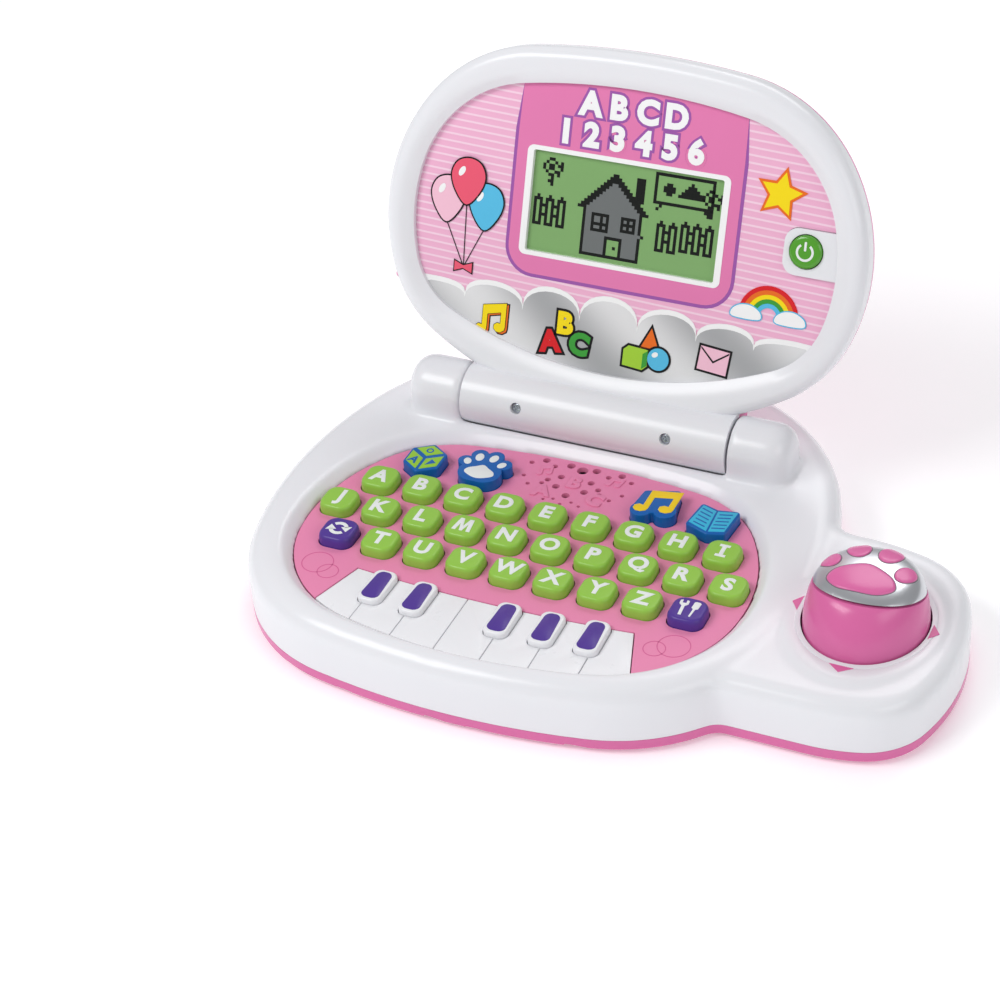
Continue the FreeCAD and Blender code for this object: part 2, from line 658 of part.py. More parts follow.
def half_barrel(front):
    """Half of the hinge barrel as a trough with closed ends."""
    tube = cross_cylinder(BARREL_R, -BARREL_HALF, BARREL_HALF)
    room = cross_cylinder(BARREL_R - LID_WALL, -BARREL_HALF + LID_WALL, BARREL_HALF - LID_WALL)
    if front:
        side = box(-100, 100, -50, 50, LID_SEAM_N, 50)
    else:
        side = box(-100, 100, -50, 50, -50, LID_SEAM_N)
    return tube.common(side), room.common(side)


def lid_front_casing():
    """White frame around the screen with the front half of the hinge barrel."""
    frame = lid_plate(RIM_SEAM_N, LID_RIM_N)
    frame = frame.makeFillet(LID_RIM_ROUND, level_edges(frame, LID_RIM_N))
    foot = oval(SCREEN_TOP, SCREEN_ARCS, 0.0, RIM_SLOPE_FOOT_N).OuterWire
    crest = oval(SCREEN_TOP, SCREEN_ARCS, RIM_SLOPE, LID_RIM_N).OuterWire
    slope = Part.makeLoft([foot, crest], True, True)
    frame = frame.cut([screen_prism(RIM_SEAM_N - 1, 10), slope])
    frame = frame.cut(screen_prism(RIM_SEAM_N - 1, SCREEN_FACE_N, 2.6))
    hollow = lid_plate(RIM_SEAM_N - 1, LID_RIM_N - 3.0, -LID_WALL)
    hollow = hollow.cut(screen_prism(-20, 10, 5.2))
    neck_room = box(-BARREL_HALF - 0.2, BARREL_HALF + 0.2, -20, NECK_TOP_S + 0.2, -20, LID_SEAM_N)
    frame = frame.cut([hollow, neck_room])
    chin = box(-BARREL_HALF, BARREL_HALF, 0, NECK_TOP_S, LID_SEAM_N, NECK_FRONT_N)
    chin = chin.cut(screen_prism(-5, 10))
    barrel, room = half_barrel(True)
    tab = power_tab(0.0, LID_SEAM_N, 0.6).common(lid_plate(-5, 5, -3.0))
    rebate = screen_prism(SCREEN_FACE_N - SCREEN_SHEET, SCREEN_FACE_N, 2.6)
    rebate = rebate.cut(power_tab(0.1, -5, 5))
    posts = [cylinder(3.4, LID_SEAM_N, BARREL_R - 1, x, 0) for x in (-LID_SCREW_X, LID_SCREW_X)]
    shell = fused([frame, chin, barrel, tab]).cut([room, rebate])
    shell = fused([shell] + posts)
    holes = [cylinder(POWER_R + 0.3, -10, 10, POWER_X, POWER_S)]
    for x in (-LID_SCREW_X, LID_SCREW_X):
        holes.append(cylinder(2.6, BARREL_R - 3.4, BARREL_R + 5, x, 0))
        holes.append(cylinder(1.3, -20, BARREL_R + 5, x, 0))
    return shell.cut(holes)


def lid_back_shell():
    """Pink back of the lid with the back half of the barrel and the hinge pins."""
    plate = lid_plate(LID_BACK_N, RIM_SEAM_N)
    plate = plate.makeFillet(LID_BACK_ROUND, level_edges(plate, LID_BACK_N))
    neck = box(-BARREL_HALF, BARREL_HALF, 0, NECK_TOP_S, NECK_BACK_N, LID_SEAM_N)
    cavity = lid_plate(LID_BACK_N + LID_WALL, LID_SEAM_N + 1, -LID_WALL)
    cavity = cavity.makeFillet(LID_BACK_ROUND - LID_WALL, level_edges(cavity, LID_BACK_N + LID_WALL))
    neck_room = box(-BARREL_HALF + LID_WALL, BARREL_HALF - LID_WALL, 0, NECK_TOP_S,
                    NECK_BACK_N + LID_WALL, LID_SEAM_N + 1)
    barrel, room = half_barrel(False)
    pins = [cross_cylinder(PIN_R, BARREL_HALF - LID_WALL, PIN_END),
            cross_cylinder(PIN_R, -PIN_END, -BARREL_HALF + LID_WALL)]
    nub = Part.makeSphere(2.2, V(-104.6, 45.5, LID_SEAM_N - 5))
    posts = [cylinder(3.4, NECK_BACK_N + 1, LID_SEAM_N, x, 0) for x in (-LID_SCREW_X, LID_SCREW_X)]
    shell = fused([plate, neck, barrel, nub]).cut([cavity, neck_room, room])
    shell = fused([shell] + pins + posts)
    bores = [cylinder(1.1, NECK_BACK_N + 3, 5, x, 0) for x in (-LID_SCREW_X, LID_SCREW_X)]
    return shell.cut(bores + [pin_relief(side) for side in (-1, 1)])


def pin_relief(side):
    """Room for the front half's end wall beside the root of a hinge pin."""
    x0 = BARREL_HALF - LID_WALL if side > 0 else -BARREL_HALF
    return box(x0, x0 + LID_WALL, -30, 30, LID_SEAM_N, 30)


def screen_overlay():
    """Printed sheet behind the frame, with openings for the display and the power tab."""
    sheet = screen_prism(SCREEN_FACE_N - SCREEN_SHEET, SCREEN_FACE_N, 2.4)
    window = slab(rounded_rectangle(LCD_W + 0.2, LCD_H + 0.2, 3.1, 0, LCD_S), -10, 10)
    return sheet.cut([window, power_tab(0.2, -5, 5)])


def lcd_module():
    """Display: a raised frame around a sunken glass."""
    frame = slab(rounded_rectangle(LCD_W, LCD_H, 3.0, 0, LCD_S), -7.0, SCREEN_FACE_N + 0.4)
    glass_room = rounded_rectangle(LCD_GLASS_W, LCD_GLASS_H, 1.0, 0, LCD_S)
    return frame.cut(slab(glass_room, -2.8, 2.0))


def power_button():
    """Round button with a lip behind the frame."""
    cap = cylinder(POWER_R - 0.1, -4.0, 2.4, POWER_X, POWER_S)
    cap = cap.makeFillet(1.4, level_edges(cap, 2.4))
    lip = cylinder(POWER_R + 1.2, -4.4, LID_SEAM_N - 0.4, POWER_X, POWER_S)
    return fused([cap, lip])


def lid_screws():
    """Two screws in the front of the hinge barrel."""
    screws = []
    for x in (-LID_SCREW_X, LID_SCREW_X):
        head = cylinder(2.4, BARREL_R - 3.4, BARREL_R - 1.5, x, 0)
        shank = cylinder(1.1, -8.5, BARREL_R - 3.3, x, 0)
        screws.append(fused([head, shank]))
    return Part.makeCompound(screws)


# ---- assembly -------------------------------------------------------------------------------
def stand_lid_up(shape):
    """Turn a shape drawn flat into the open lid's place."""
    shape.rotate(V(0, 0, 0), X_AXIS, 180 - LID_OPEN_DEG)
    shape.translate(V(0, 0, HINGE_Z))
    return shape


def all_parts():
    """Every sub-part in its place in the hinge frame, by name."""
    parts = {
        "base_upper_casing": base_upper_casing(),
        "base_lower_casing": base_lower_casing(),
        "battery_door": battery_door(),
        "batteries": batteries(),
        "circuit_board": circuit_board(),
        "speaker": speaker(),
        "keyboard_panel": keyboard_panel(),
        "mouse_rocker": mouse_rocker(),
        "mouse_body": mouse_body(),
        "mouse_cap": mouse_cap(),
    }
    lid_builders = [lid_front_casing, lid_back_shell, screen_overlay, lcd_module, power_button, lid_screws]
    for build in lid_builders:
        parts[build.__name__] = stand_lid_up(build())
    for name, x, y in letter_spots():
        face = rounded_rectangle(KEY_SIZE, KEY_SIZE, KEY_CORNER, x, y)
        parts[name] = key_solid(face, KEY_TOP_Z, 2.0)
    for name, outline in ACTIVITY_KEYS.items():
        parts[name] = key_solid(outline(), KEY_TOP_Z, 0)
    for index in range(7):
        parts["piano_white_%d" % (index + 1)] = white_key(index)
    for number, gap in enumerate(BLACK_KEY_GAPS, 1):
        parts["piano_raised_%d" % number] = black_key(gap)
    return parts


def main():
    """Build the toy, centre it on its footprint and write one file per sub-part."""
    parts = all_parts()
    extent = FreeCAD.BoundBox()
    for shape in parts.values():
        extent.add(shape.optimalBoundingBox(False, False))
    shift = V(-extent.Center.x, -extent.Center.y, -extent.ZMin)
    os.makedirs("parts", exist_ok=True)
    for name, shape in parts.items():
        shape.translate(shift)
        shape.exportStep(os.path.join("parts", name + ".step"))
        state = "" if shape.isValid() else "  NOT VALID"
        print("%-20s %2d solid  %9.1f mm3%s" % (name, len(shape.Solids), shape.Volume, state))
    print("moved by %.3f %.3f %.3f" % (shift.x, shift.y, shift.z))
    print("size %.1f x %.1f x %.1f mm" % (extent.XLength, extent.YLength, extent.ZLength))


main()
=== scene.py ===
"""Looks of a toy laptop computer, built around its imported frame.

Pieces are drawn in millimetres in one of two drawing frames and then placed in the frame's metres:
the base frame has its origin below the hinge at table height, with X across and +Y towards the
handle; the lid frame lies flat, with X across, Y away from the hinge and Z out of the screen side.
"""
from __future__ import annotations

import json
import logging
import math
from contextlib import contextmanager
from dataclasses import dataclass
from enum import Enum
from typing import Callable, Iterator, Sequence

import bmesh
import bpy
from mathutils import Matrix, Vector

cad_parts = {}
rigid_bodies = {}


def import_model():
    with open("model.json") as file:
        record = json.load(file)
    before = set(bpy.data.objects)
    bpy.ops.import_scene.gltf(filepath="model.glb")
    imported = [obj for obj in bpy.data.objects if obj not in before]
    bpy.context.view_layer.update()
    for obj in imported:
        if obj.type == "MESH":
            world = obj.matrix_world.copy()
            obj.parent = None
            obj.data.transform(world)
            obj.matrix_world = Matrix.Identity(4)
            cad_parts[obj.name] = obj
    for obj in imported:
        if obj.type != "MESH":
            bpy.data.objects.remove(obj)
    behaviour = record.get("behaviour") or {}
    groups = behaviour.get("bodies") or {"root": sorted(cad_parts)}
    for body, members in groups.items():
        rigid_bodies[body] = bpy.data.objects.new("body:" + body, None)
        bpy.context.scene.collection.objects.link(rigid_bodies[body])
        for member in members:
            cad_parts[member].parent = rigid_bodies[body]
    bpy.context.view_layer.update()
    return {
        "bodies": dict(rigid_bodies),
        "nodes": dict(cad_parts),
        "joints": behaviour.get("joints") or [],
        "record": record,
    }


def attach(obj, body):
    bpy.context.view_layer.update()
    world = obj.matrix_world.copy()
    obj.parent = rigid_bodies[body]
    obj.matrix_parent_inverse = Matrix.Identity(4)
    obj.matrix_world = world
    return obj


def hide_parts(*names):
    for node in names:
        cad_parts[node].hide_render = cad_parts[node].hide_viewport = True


LOG = logging.getLogger("toy_laptop")
MM = 0.001
Point = tuple[float, float]
Colour = tuple[float, float, float]


class Sheet(Enum):
    """Drawing frame of a piece."""

    BASE = "base"
    LID = "lid"


def srgb(red: int, green: int, blue: int) -> Colour:
    """Linear colour from the usual 0-255 values.

    Args:
        red: Red, 0 to 255.
        green: Green, 0 to 255.
        blue: Blue, 0 to 255.

    Returns:
        The same colour as Blender's shaders use it.
    """
    def straight(value: int) -> float:
        """One channel made linear."""
        part = value / 255
        return part / 12.92 if part <= 0.04045 else ((part + 0.055) / 1.055) ** 2.4

    return straight(red), straight(green), straight(blue)


# ---------------------------------------------------------------------------------------------
# Finishes
# ---------------------------------------------------------------------------------------------
class SkinGroup:
    """Shared node group: the faint unevenness of a moulded plastic skin."""

    name = "moulded_skin"

    def build(self) -> bpy.types.NodeTree:
        """Build the group once.

        Returns:
            The node group, with colour, roughness and normal outputs.
        """
        if self.name in bpy.data.node_groups:
            return bpy.data.node_groups[self.name]
        tree = bpy.data.node_groups.new(self.name, "ShaderNodeTree")
        face = tree.interface
        face.new_socket("Colour", in_out="INPUT", socket_type="NodeSocketColor")
        for label, value in (("Tint", 0.03), ("Gloss", 0.25), ("Gloss Spread", 0.04),
                             ("Peel", 0.02), ("Wear", 0.15), ("Dust", 0.05)):
            socket = face.new_socket(label, in_out="INPUT", socket_type="NodeSocketFloat")
            socket.default_value = value
        face.new_socket("Colour", in_out="OUTPUT", socket_type="NodeSocketColor")
        face.new_socket("Roughness", in_out="OUTPUT", socket_type="NodeSocketFloat")
        face.new_socket("Normal", in_out="OUTPUT", socket_type="NodeSocketVector")
        nodes, links = tree.nodes, tree.links
        source = nodes.new("NodeGroupInput")
        result = nodes.new("NodeGroupOutput")
        where = nodes.new("ShaderNodeTexCoord")

        def noise(scale: float, detail: float) -> bpy.types.Node:
            """Noise over the piece in its own coordinates."""
            node = nodes.new("ShaderNodeTexNoise")
            node.inputs["Scale"].default_value = scale
            node.inputs["Detail"].default_value = detail
            links.new(where.outputs["Object"], node.inputs["Vector"])
            return node

        def math_node(operation: str, first, second) -> bpy.types.NodeSocket:
            """One sum of two sockets or numbers."""
            node = nodes.new("ShaderNodeMath")
            node.operation = operation
            for slot, value in zip(node.inputs, (first, second)):
                if isinstance(value, (int, float)):
                    slot.default_value = value
                else:
                    links.new(value, slot)
            return node.outputs[0]

        cloud = noise(18.0, 3.0)
        fine = noise(420.0, 2.0)
        scuff = noise(95.0, 6.0)
        centred = math_node("SUBTRACT", cloud.outputs["Fac"], 0.5)
        shift = math_node("MULTIPLY", centred, source.outputs["Tint"])
        level = math_node("ADD", shift, 0.5)
        adjust = nodes.new("ShaderNodeHueSaturation")
        links.new(source.outputs["Colour"], adjust.inputs["Color"])
        links.new(math_node("MULTIPLY", level, 2.0), adjust.inputs["Value"])
        geometry = nodes.new("ShaderNodeNewGeometry")
        edge = nodes.new("ShaderNodeMapRange")
        edge.inputs["From Min"].default_value = 0.53
        edge.inputs["From Max"].default_value = 0.66
        links.new(geometry.outputs["Pointiness"], edge.inputs["Value"])
        broken = math_node("MULTIPLY", edge.outputs["Result"], scuff.outputs["Fac"])
        worn = math_node("MULTIPLY", broken, source.outputs["Wear"])
        light = nodes.new("ShaderNodeMix")
        light.data_type = "RGBA"
        light.inputs["B"].default_value = (0.9, 0.9, 0.9, 1.0)
        links.new(worn, light.inputs["Factor"])
        links.new(adjust.outputs["Color"], light.inputs["A"])
        links.new(light.outputs["Result"], result.inputs["Colour"])
        spread = math_node("MULTIPLY", math_node("SUBTRACT", scuff.outputs["Fac"], 0.5),
                           source.outputs["Gloss Spread"])
        upward = nodes.new("ShaderNodeSeparateXYZ")
        links.new(geometry.outputs["Normal"], upward.inputs["Vector"])
        settled = math_node("MULTIPLY", math_node("MAXIMUM", upward.outputs["Z"], 0.0),
                            source.outputs["Dust"])
        base = math_node("ADD", math_node("ADD", source.outputs["Gloss"], spread), settled)
        rough = math_node("ADD", base, math_node("MULTIPLY", worn, 0.4))
        links.new(math_node("MAXIMUM", rough, 0.04), result.inputs["Roughness"])
        bump = nodes.new("ShaderNodeBump")
        bump.inputs["Distance"].default_value = 0.0004
        links.new(source.outputs["Peel"], bump.inputs["Strength"])
        links.new(fine.outputs["Fac"], bump.inputs["Height"])
        links.new(bump.outputs["Normal"], result.inputs["Normal"])
        return tree


@dataclass(frozen=True)
class Plastic:
    """Moulded or printed plastic finish."""

    name: str
    colour: Colour
    gloss: float = 0.28
    peel: float = 0.05
    tint: float = 0.03
    wear: float = 0.10
    dust: float = 0.04
    coat: float = 0.0
    metallic: float = 0.0
    subsurface: float = 0.0
    specular: float = 0.4

    def start(self) -> tuple[bpy.types.Material, bpy.types.Node, bpy.types.Node]:
        """Make the material with the shared skin wired to its shader.

        Returns:
            The material, its skin group node and its shader node.
        """
        material = bpy.data.materials.new(self.name)
        material.use_nodes = True
        tree = material.node_tree
        shader = tree.nodes["Principled BSDF"]
        skin = tree.nodes.new("ShaderNodeGroup")
        skin.node_tree = SkinGroup().build()
        skin.inputs["Colour"].default_value = (*self.colour, 1.0)
        for label, value in (("Tint", self.tint), ("Gloss", self.gloss), ("Peel", self.peel),
                             ("Wear", self.wear), ("Dust", self.dust)):
            skin.inputs[label].default_value = value
        tree.links.new(skin.outputs["Colour"], shader.inputs["Base Color"])
        tree.links.new(skin.outputs["Roughness"], shader.inputs["Roughness"])
        tree.links.new(skin.outputs["Normal"], shader.inputs["Normal"])
        shader.inputs["Metallic"].default_value = self.metallic
        shader.inputs["Coat Weight"].default_value = self.coat
        shader.inputs["Coat Roughness"].default_value = 0.08
        shader.inputs["Specular IOR Level"].default_value = self.specular
        shader.inputs["Subsurface Weight"].default_value = self.subsurface
        shader.inputs["Subsurface Radius"].default_value = (0.004, 0.003, 0.003)
        shader.inputs["Subsurface Scale"].default_value = 1.0
        return material, skin, shader

    def build(self) -> bpy.types.Material:
        """Material of this finish, made once."""
        if self.name in bpy.data.materials:
            return bpy.data.materials[self.name]
        return self.start()[0]


@dataclass(frozen=True)
class StripedSheet(Plastic):
    """Printed sheet with thin pale lines across it."""

    stripe: Colour = (1.0, 1.0, 1.0)
    pitch: float = 3.25
    lean_deg: float = 2.0

    def build(self) -> bpy.types.Material:
        """Material with the printed lines, made once."""
        if self.name in bpy.data.materials:
            return bpy.data.materials[self.name]
        material, skin, _ = self.start()
        tree = material.node_tree
        where = tree.nodes.new("ShaderNodeTexCoord")
        turn = tree.nodes.new("ShaderNodeMapping")
        turn.inputs["Rotation"].default_value = (-LID_RISE, 0.0, math.radians(self.lean_deg))
        lines = tree.nodes.new("ShaderNodeTexWave")
        lines.wave_type = "BANDS"
        lines.bands_direction = "Y"
        lines.wave_profile = "SIN"
        lines.inputs["Scale"].default_value = 1000.0 / self.pitch / 3.183
        lines.inputs["Distortion"].default_value = 0.0
        ramp = tree.nodes.new("ShaderNodeValToRGB")
        ramp.color_ramp.elements[0].position = 0.74
        ramp.color_ramp.elements[0].color = (*self.colour, 1.0)
        ramp.color_ramp.elements[1].position = 0.92
        ramp.color_ramp.elements[1].color = (*self.stripe, 1.0)
        tree.links.new(where.outputs["Object"], turn.inputs["Vector"])
        tree.links.new(turn.outputs["Vector"], lines.inputs["Vector"])
        tree.links.new(lines.outputs["Fac"], ramp.inputs["Fac"])
        tree.links.new(ramp.outputs["Color"], skin.inputs["Colour"])
        return material


@dataclass(frozen=True)
class SilverPaintedReflections(Plastic):
    """Silver print or plating with painted light and dark bands that stand in for reflections."""

    # Colour of the dark bands: painted shade of the reflections
    dark: Colour = (0.2, 0.2, 0.2)
    band_mm: float = 42.0

    def build(self) -> bpy.types.Material:
        """Material with the painted reflection bands, made once."""
        if self.name in bpy.data.materials:
            return bpy.data.materials[self.name]
        material, skin, _ = self.start()
        tree = material.node_tree
        where = tree.nodes.new("ShaderNodeTexCoord")
        bands = tree.nodes.new("ShaderNodeTexWave")
        bands.bands_direction = "DIAGONAL"
        bands.inputs["Scale"].default_value = 1000.0 / self.band_mm / 3.183
        bands.inputs["Distortion"].default_value = 1.2
        bands.inputs["Detail"].default_value = 0.0
        ramp = tree.nodes.new("ShaderNodeValToRGB")
        ramp.color_ramp.elements[0].color = (*self.dark, 1.0)
        ramp.color_ramp.elements[1].color = (*self.colour, 1.0)
        tree.links.new(where.outputs["Object"], bands.inputs["Vector"])
        tree.links.new(bands.outputs["Fac"], ramp.inputs["Fac"])
        tree.links.new(ramp.outputs["Color"], skin.inputs["Colour"])
        return material


LID_OPEN = math.radians(111.0)
LID_RISE = math.pi - LID_OPEN

WHITE = Plastic("white_casing", srgb(238, 238, 242), gloss=0.22, peel=0.03, wear=0.0, tint=0.012,
                dust=0.02,
                subsurface=0.05)
PIANO_WHITE = Plastic("piano_plastic", srgb(240, 240, 243), gloss=0.24, wear=0.0, tint=0.012,
                      subsurface=0.04)
PINK = Plastic("pink_casing", srgb(222, 108, 166), gloss=0.22, peel=0.05, wear=0.05, dust=0.02)
PANEL_PINK = Plastic("panel_plastic", srgb(236, 140, 180), gloss=0.34, peel=0.08, wear=0.0, dust=0.02,
                     specular=0.3)
# Darker pink of the corner rings: painted shade standing for engraved grooves
PANEL_RING_SHADE = Plastic("panel_ring_painted_shade", srgb(216, 96, 150), gloss=0.4)
LIME = Plastic("lime_plastic", srgb(152, 204, 78), gloss=0.30, peel=0.06, wear=0.03, dust=0.02,
               specular=0.35)
PURPLE = Plastic("purple_plastic", srgb(84, 58, 150), gloss=0.30, peel=0.06, wear=0.03, dust=0.02,
                 specular=0.3)
BLUE = Plastic("blue_plastic", srgb(20, 100, 180), gloss=0.28, peel=0.06, wear=0.03, dust=0.02,
               specular=0.3)
KEY_WHITE = Plastic("key_lettering", srgb(238, 242, 240), gloss=0.42, wear=0.0)
KEY_GREEN = Plastic("key_green_print", srgb(156, 208, 60), gloss=0.4, wear=0.0)
KEY_YELLOW = Plastic("key_yellow_print", srgb(250, 212, 30), gloss=0.4, wear=0.0)
KEY_CYAN = Plastic("key_cyan_print", srgb(60, 190, 226), gloss=0.4, wear=0.0)
ARROW_PINK = Plastic("arrow_print", srgb(226, 110, 168), gloss=0.35, wear=0.0)
SILVER = Plastic("silver_plating", srgb(208, 210, 214), gloss=0.26, metallic=0.9, wear=0.1)
# Dark grey ring round each mouse pad: painted shade of the groove between pad and cap
GROOVE_SHADE = Plastic("cap_groove_painted_shade", srgb(112, 108, 116), gloss=0.35, wear=0.0)
BOARD = Plastic("green_board", srgb(28, 92, 52), gloss=0.4)
CONE = Plastic("speaker_cone", srgb(30, 30, 32), gloss=0.6, peel=0.3)
CELL = Plastic("wrapped_cell", srgb(60, 62, 66), gloss=0.3)
RUBBER = Plastic("rubber_feet", srgb(92, 92, 96), gloss=0.7, wear=0.0)
INNER = Plastic("grey_plastic", srgb(205, 205, 205), gloss=0.45)
STEEL = Plastic("zinc_plated_steel", srgb(190, 195, 202), gloss=0.25, metallic=1.0, wear=0.2)
BUTTON_GREEN = Plastic("green_plastic", srgb(84, 162, 44), gloss=0.2, coat=0.3, wear=0.0, dust=0.0)
LCD_GREEN = Plastic("display_green", srgb(130, 174, 108), gloss=0.12, coat=0.8, wear=0.0, peel=0.0)
LCD_BLACK = Plastic("display_black", srgb(14, 18, 14), gloss=0.25, wear=0.0)
LCD_GREY = Plastic("display_grey", srgb(112, 116, 116), gloss=0.25, wear=0.0)
SCREEN_PINK = StripedSheet("screen_stripes", srgb(243, 182, 212), gloss=0.24, wear=0.0,
                           stripe=srgb(250, 214, 231))
SCREEN_DEEP = Plastic("screen_deep_pink", srgb(231, 128, 180), gloss=0.22, wear=0.0)
SCREEN_EDGE = Plastic("screen_purple", srgb(160, 92, 172), gloss=0.24, wear=0.0)
SCREEN_WHITE = Plastic("screen_white", srgb(250, 250, 250), gloss=0.24, wear=0.0)
# Cloud print: its soft light and dark bands are painted reflections
CLOUD_SILVER = SilverPaintedReflections("cloud_silver", srgb(230, 230, 231), gloss=0.22, wear=0.0,
                             dark=srgb(172, 173, 175))
INK = Plastic("print_black", srgb(12, 12, 14), gloss=0.3, wear=0.0)
PRINT_YELLOW = Plastic("print_yellow", srgb(252, 224, 20), gloss=0.25, wear=0.0)
PRINT_ORANGE = Plastic("print_orange", srgb(238, 112, 34), gloss=0.25, wear=0.0)
PRINT_RED = Plastic("print_red", srgb(222, 32, 40), gloss=0.25, wear=0.0)
PRINT_GREEN = Plastic("print_green", srgb(62, 160, 60), gloss=0.25, wear=0.0)
PRINT_LIME = Plastic("print_lime", srgb(166, 212, 60), gloss=0.25, wear=0.0)
PRINT_SKY = Plastic("print_sky", srgb(90, 192, 232), gloss=0.25, wear=0.0)
PRINT_CORAL = Plastic("print_coral", srgb(240, 92, 118), gloss=0.25, wear=0.0)
PRINT_ROSE = Plastic("print_rose", srgb(248, 196, 216), gloss=0.25, wear=0.0)


# ---------------------------------------------------------------------------------------------
# Shaping
# ---------------------------------------------------------------------------------------------
@contextmanager
def editing(piece: bpy.types.Object) -> Iterator[None]:
    """Edit mode on one mesh, with nothing selected at first.

    Args:
        piece: The mesh object to shape.
    """
    bpy.ops.object.select_all(action="DESELECT")
    piece.select_set(True)
    bpy.context.view_layer.objects.active = piece
    bpy.ops.object.mode_set(mode="EDIT")
    bpy.ops.mesh.select_all(action="DESELECT")
    try:
        yield
    finally:
        bpy.ops.object.mode_set(mode="OBJECT")


def pick_faces(piece: bpy.types.Object, wanted: Callable[[Vector, Vector], bool]) -> int:
    """Select faces by their middle and normal, in edit mode.

    Args:
        piece: The mesh being edited.
        wanted: Test of a face's middle and normal.

    Returns:
        How many faces are selected.
    """
    mesh = bmesh.from_edit_mesh(piece.data)
    mesh.normal_update()
    for face in mesh.faces:
        face.select_set(wanted(face.calc_center_median(), face.normal))
    bmesh.update_edit_mesh(piece.data)
    return sum(face.select for face in mesh.faces)


def pick_edges(piece: bpy.types.Object, wanted: Callable[[Vector, Vector], bool]) -> int:
    """Select edges by their two ends, in edit mode.

    Args:
        piece: The mesh being edited.
        wanted: Test of an edge's ends.

    Returns:
        How many edges are selected.
    """
    bpy.ops.mesh.select_mode(type="EDGE")
    mesh = bmesh.from_edit_mesh(piece.data)
    for edge in mesh.edges:
        edge.select_set(wanted(edge.verts[0].co, edge.verts[1].co))
    bmesh.update_edit_mesh(piece.data)
    return sum(edge.select for edge in mesh.edges)


def modify(piece: bpy.types.Object, kind: str, **values) -> bpy.types.Object:
    """Add one modifier, set it up and apply it.

    Args:
        piece: The mesh object.
        kind: Blender's name of the modifier type.
        **values: Settings of the modifier.

    Returns:
        The same object.
    """
    bpy.ops.object.select_all(action="DESELECT")
    piece.select_set(True)
    bpy.context.view_layer.objects.active = piece
    modifier = piece.modifiers.new(kind.lower(), kind)
    for label, value in values.items():
        setattr(modifier, label, value)
    bpy.ops.object.modifier_apply(modifier=modifier.name)
    return piece


def smooth_closed(corners: Sequence[Point], steps: int = 6) -> list[Point]:
    """Rounded closed line through a few corners.

    Args:
        corners: Points to pass through, counter-clockwise.
        steps: Points per corner.

    Returns:
        Points of the closed line.
    """
    line: list[Point] = []
    count = len(corners)
    for i in range(count):
        p0, p1, p2, p3 = (corners[(i + k - 1) % count] for k in range(4))
        for step in range(steps):
            t = step / steps
            line.append(tuple(
                0.5 * (2 * b + (c - a) * t + (2 * a - 5 * b + 4 * c - d) * t * t
                       + (3 * b - a - 3 * c + d) * t ** 3)
                for a, b, c, d in zip(p0, p1, p2, p3)))
    return line


def ring(x: float, y: float, half_x: float, half_y: float, count: int = 40,
         turn: float = 0.0) -> list[Point]:
    """Points round an ellipse.

    Args:
        x: Middle across.
        y: Middle along.
        half_x: Half width.
        half_y: Half depth.
        count: Number of points.
        turn: Turn of the ellipse in degrees.

    Returns:
        The points, counter-clockwise.
    """
    c, s = math.cos(math.radians(turn)), math.sin(math.radians(turn))
    points = []
    for i in range(count):
        a = math.tau * i / count
        px, py = half_x * math.cos(a), half_y * math.sin(a)
        points.append((x + px * c - py * s, y + px * s + py * c))
    return points


def rounded_box(x: float, y: float, width: float, height: float, corner: float,
                turn: float = 0.0) -> list[Point]:
    """Points round a rectangle with round corners.

    Args:
        x: Middle across.
        y: Middle along.
        width: Width.
        height: Height.
        corner: Corner radius.
        turn: Turn in degrees.

    Returns:
        The points, counter-clockwise.
    """
    c, s = math.cos(math.radians(turn)), math.sin(math.radians(turn))
    points = []
    for quarter, (sx, sy) in enumerate(((1, 1), (-1, 1), (-1, -1), (1, -1))):
        for step in range(7):
            a = math.radians(90 * quarter + 15 * step)
            px = sx * (width / 2 - corner) + corner * math.cos(a)
            py = sy * (height / 2 - corner) + corner * math.sin(a)
            points.append((x + px * c - py * s, y + px * s + py * c))
    return points


def grown(points: Sequence[Point], amount: float) -> list[Point]:
    """The outline moved outwards.

    Args:
        points: Outline, either way round.
        amount: Distance, outwards.

    Returns:
        The moved outline.
    """
    turning = sum(a[0] * b[1] - a[1] * b[0] for a, b in zip(points, [*points[1:], points[0]]))
    amount = math.copysign(amount, amount * turning)
    moved = []
    for i, (x, y) in enumerate(points):
        before, after = points[i - 1], points[(i + 1) % len(points)]
        normals = []
        for a, b in ((before, (x, y)), ((x, y), after)):
            length = math.hypot(b[0] - a[0], b[1] - a[1]) or 1.0
            normals.append(((b[1] - a[1]) / length, (a[0] - b[0]) / length))
        nx, ny = (normals[0][k] + normals[1][k] for k in range(2))
        scale = amount * 2 / max(nx * nx + ny * ny, 0.8)
        moved.append((x + nx * scale, y + ny * scale))
    return moved


def half_oval(top: float, arcs: Sequence[Point], grow: float = 0.0,
              step_deg: float = 3.0) -> list[Point]:
    """Outline that is the same both sides, from arcs given as radius and sweep.

    Args:
        top: Far end on the middle line.
        arcs: Radius and sweep in degrees of each arc, clockwise.
        grow: Distance that the outline is moved outwards.
        step_deg: Angle between points.

    Returns:
        The closed outline, counter-clockwise.
    """
    x, y, heading = 0.0, top + grow, 0.0
    right: list[Point] = [(x, y)]
    chain = [(radius + grow, math.radians(sweep)) for radius, sweep in arcs] + [(0.0, 0.0)]
    for index, (radius, sweep) in enumerate(chain):
        if index == len(chain) - 1:
            radius, sweep = x / math.sin(heading), math.pi - heading
        count = max(2, round(math.degrees(sweep) / step_deg))
        cx, cy = x - radius * math.sin(heading), y - radius * math.cos(heading)
        for i in range(1, count + 1):
            angle = heading + sweep * i / count
            right.append((cx + radius * math.sin(angle), cy + radius * math.cos(angle)))
        heading += sweep
        x, y = right[-1]
    left = [(-px, py) for px, py in right[1:-1]]
    return right[:1] + left + right[:0:-1]


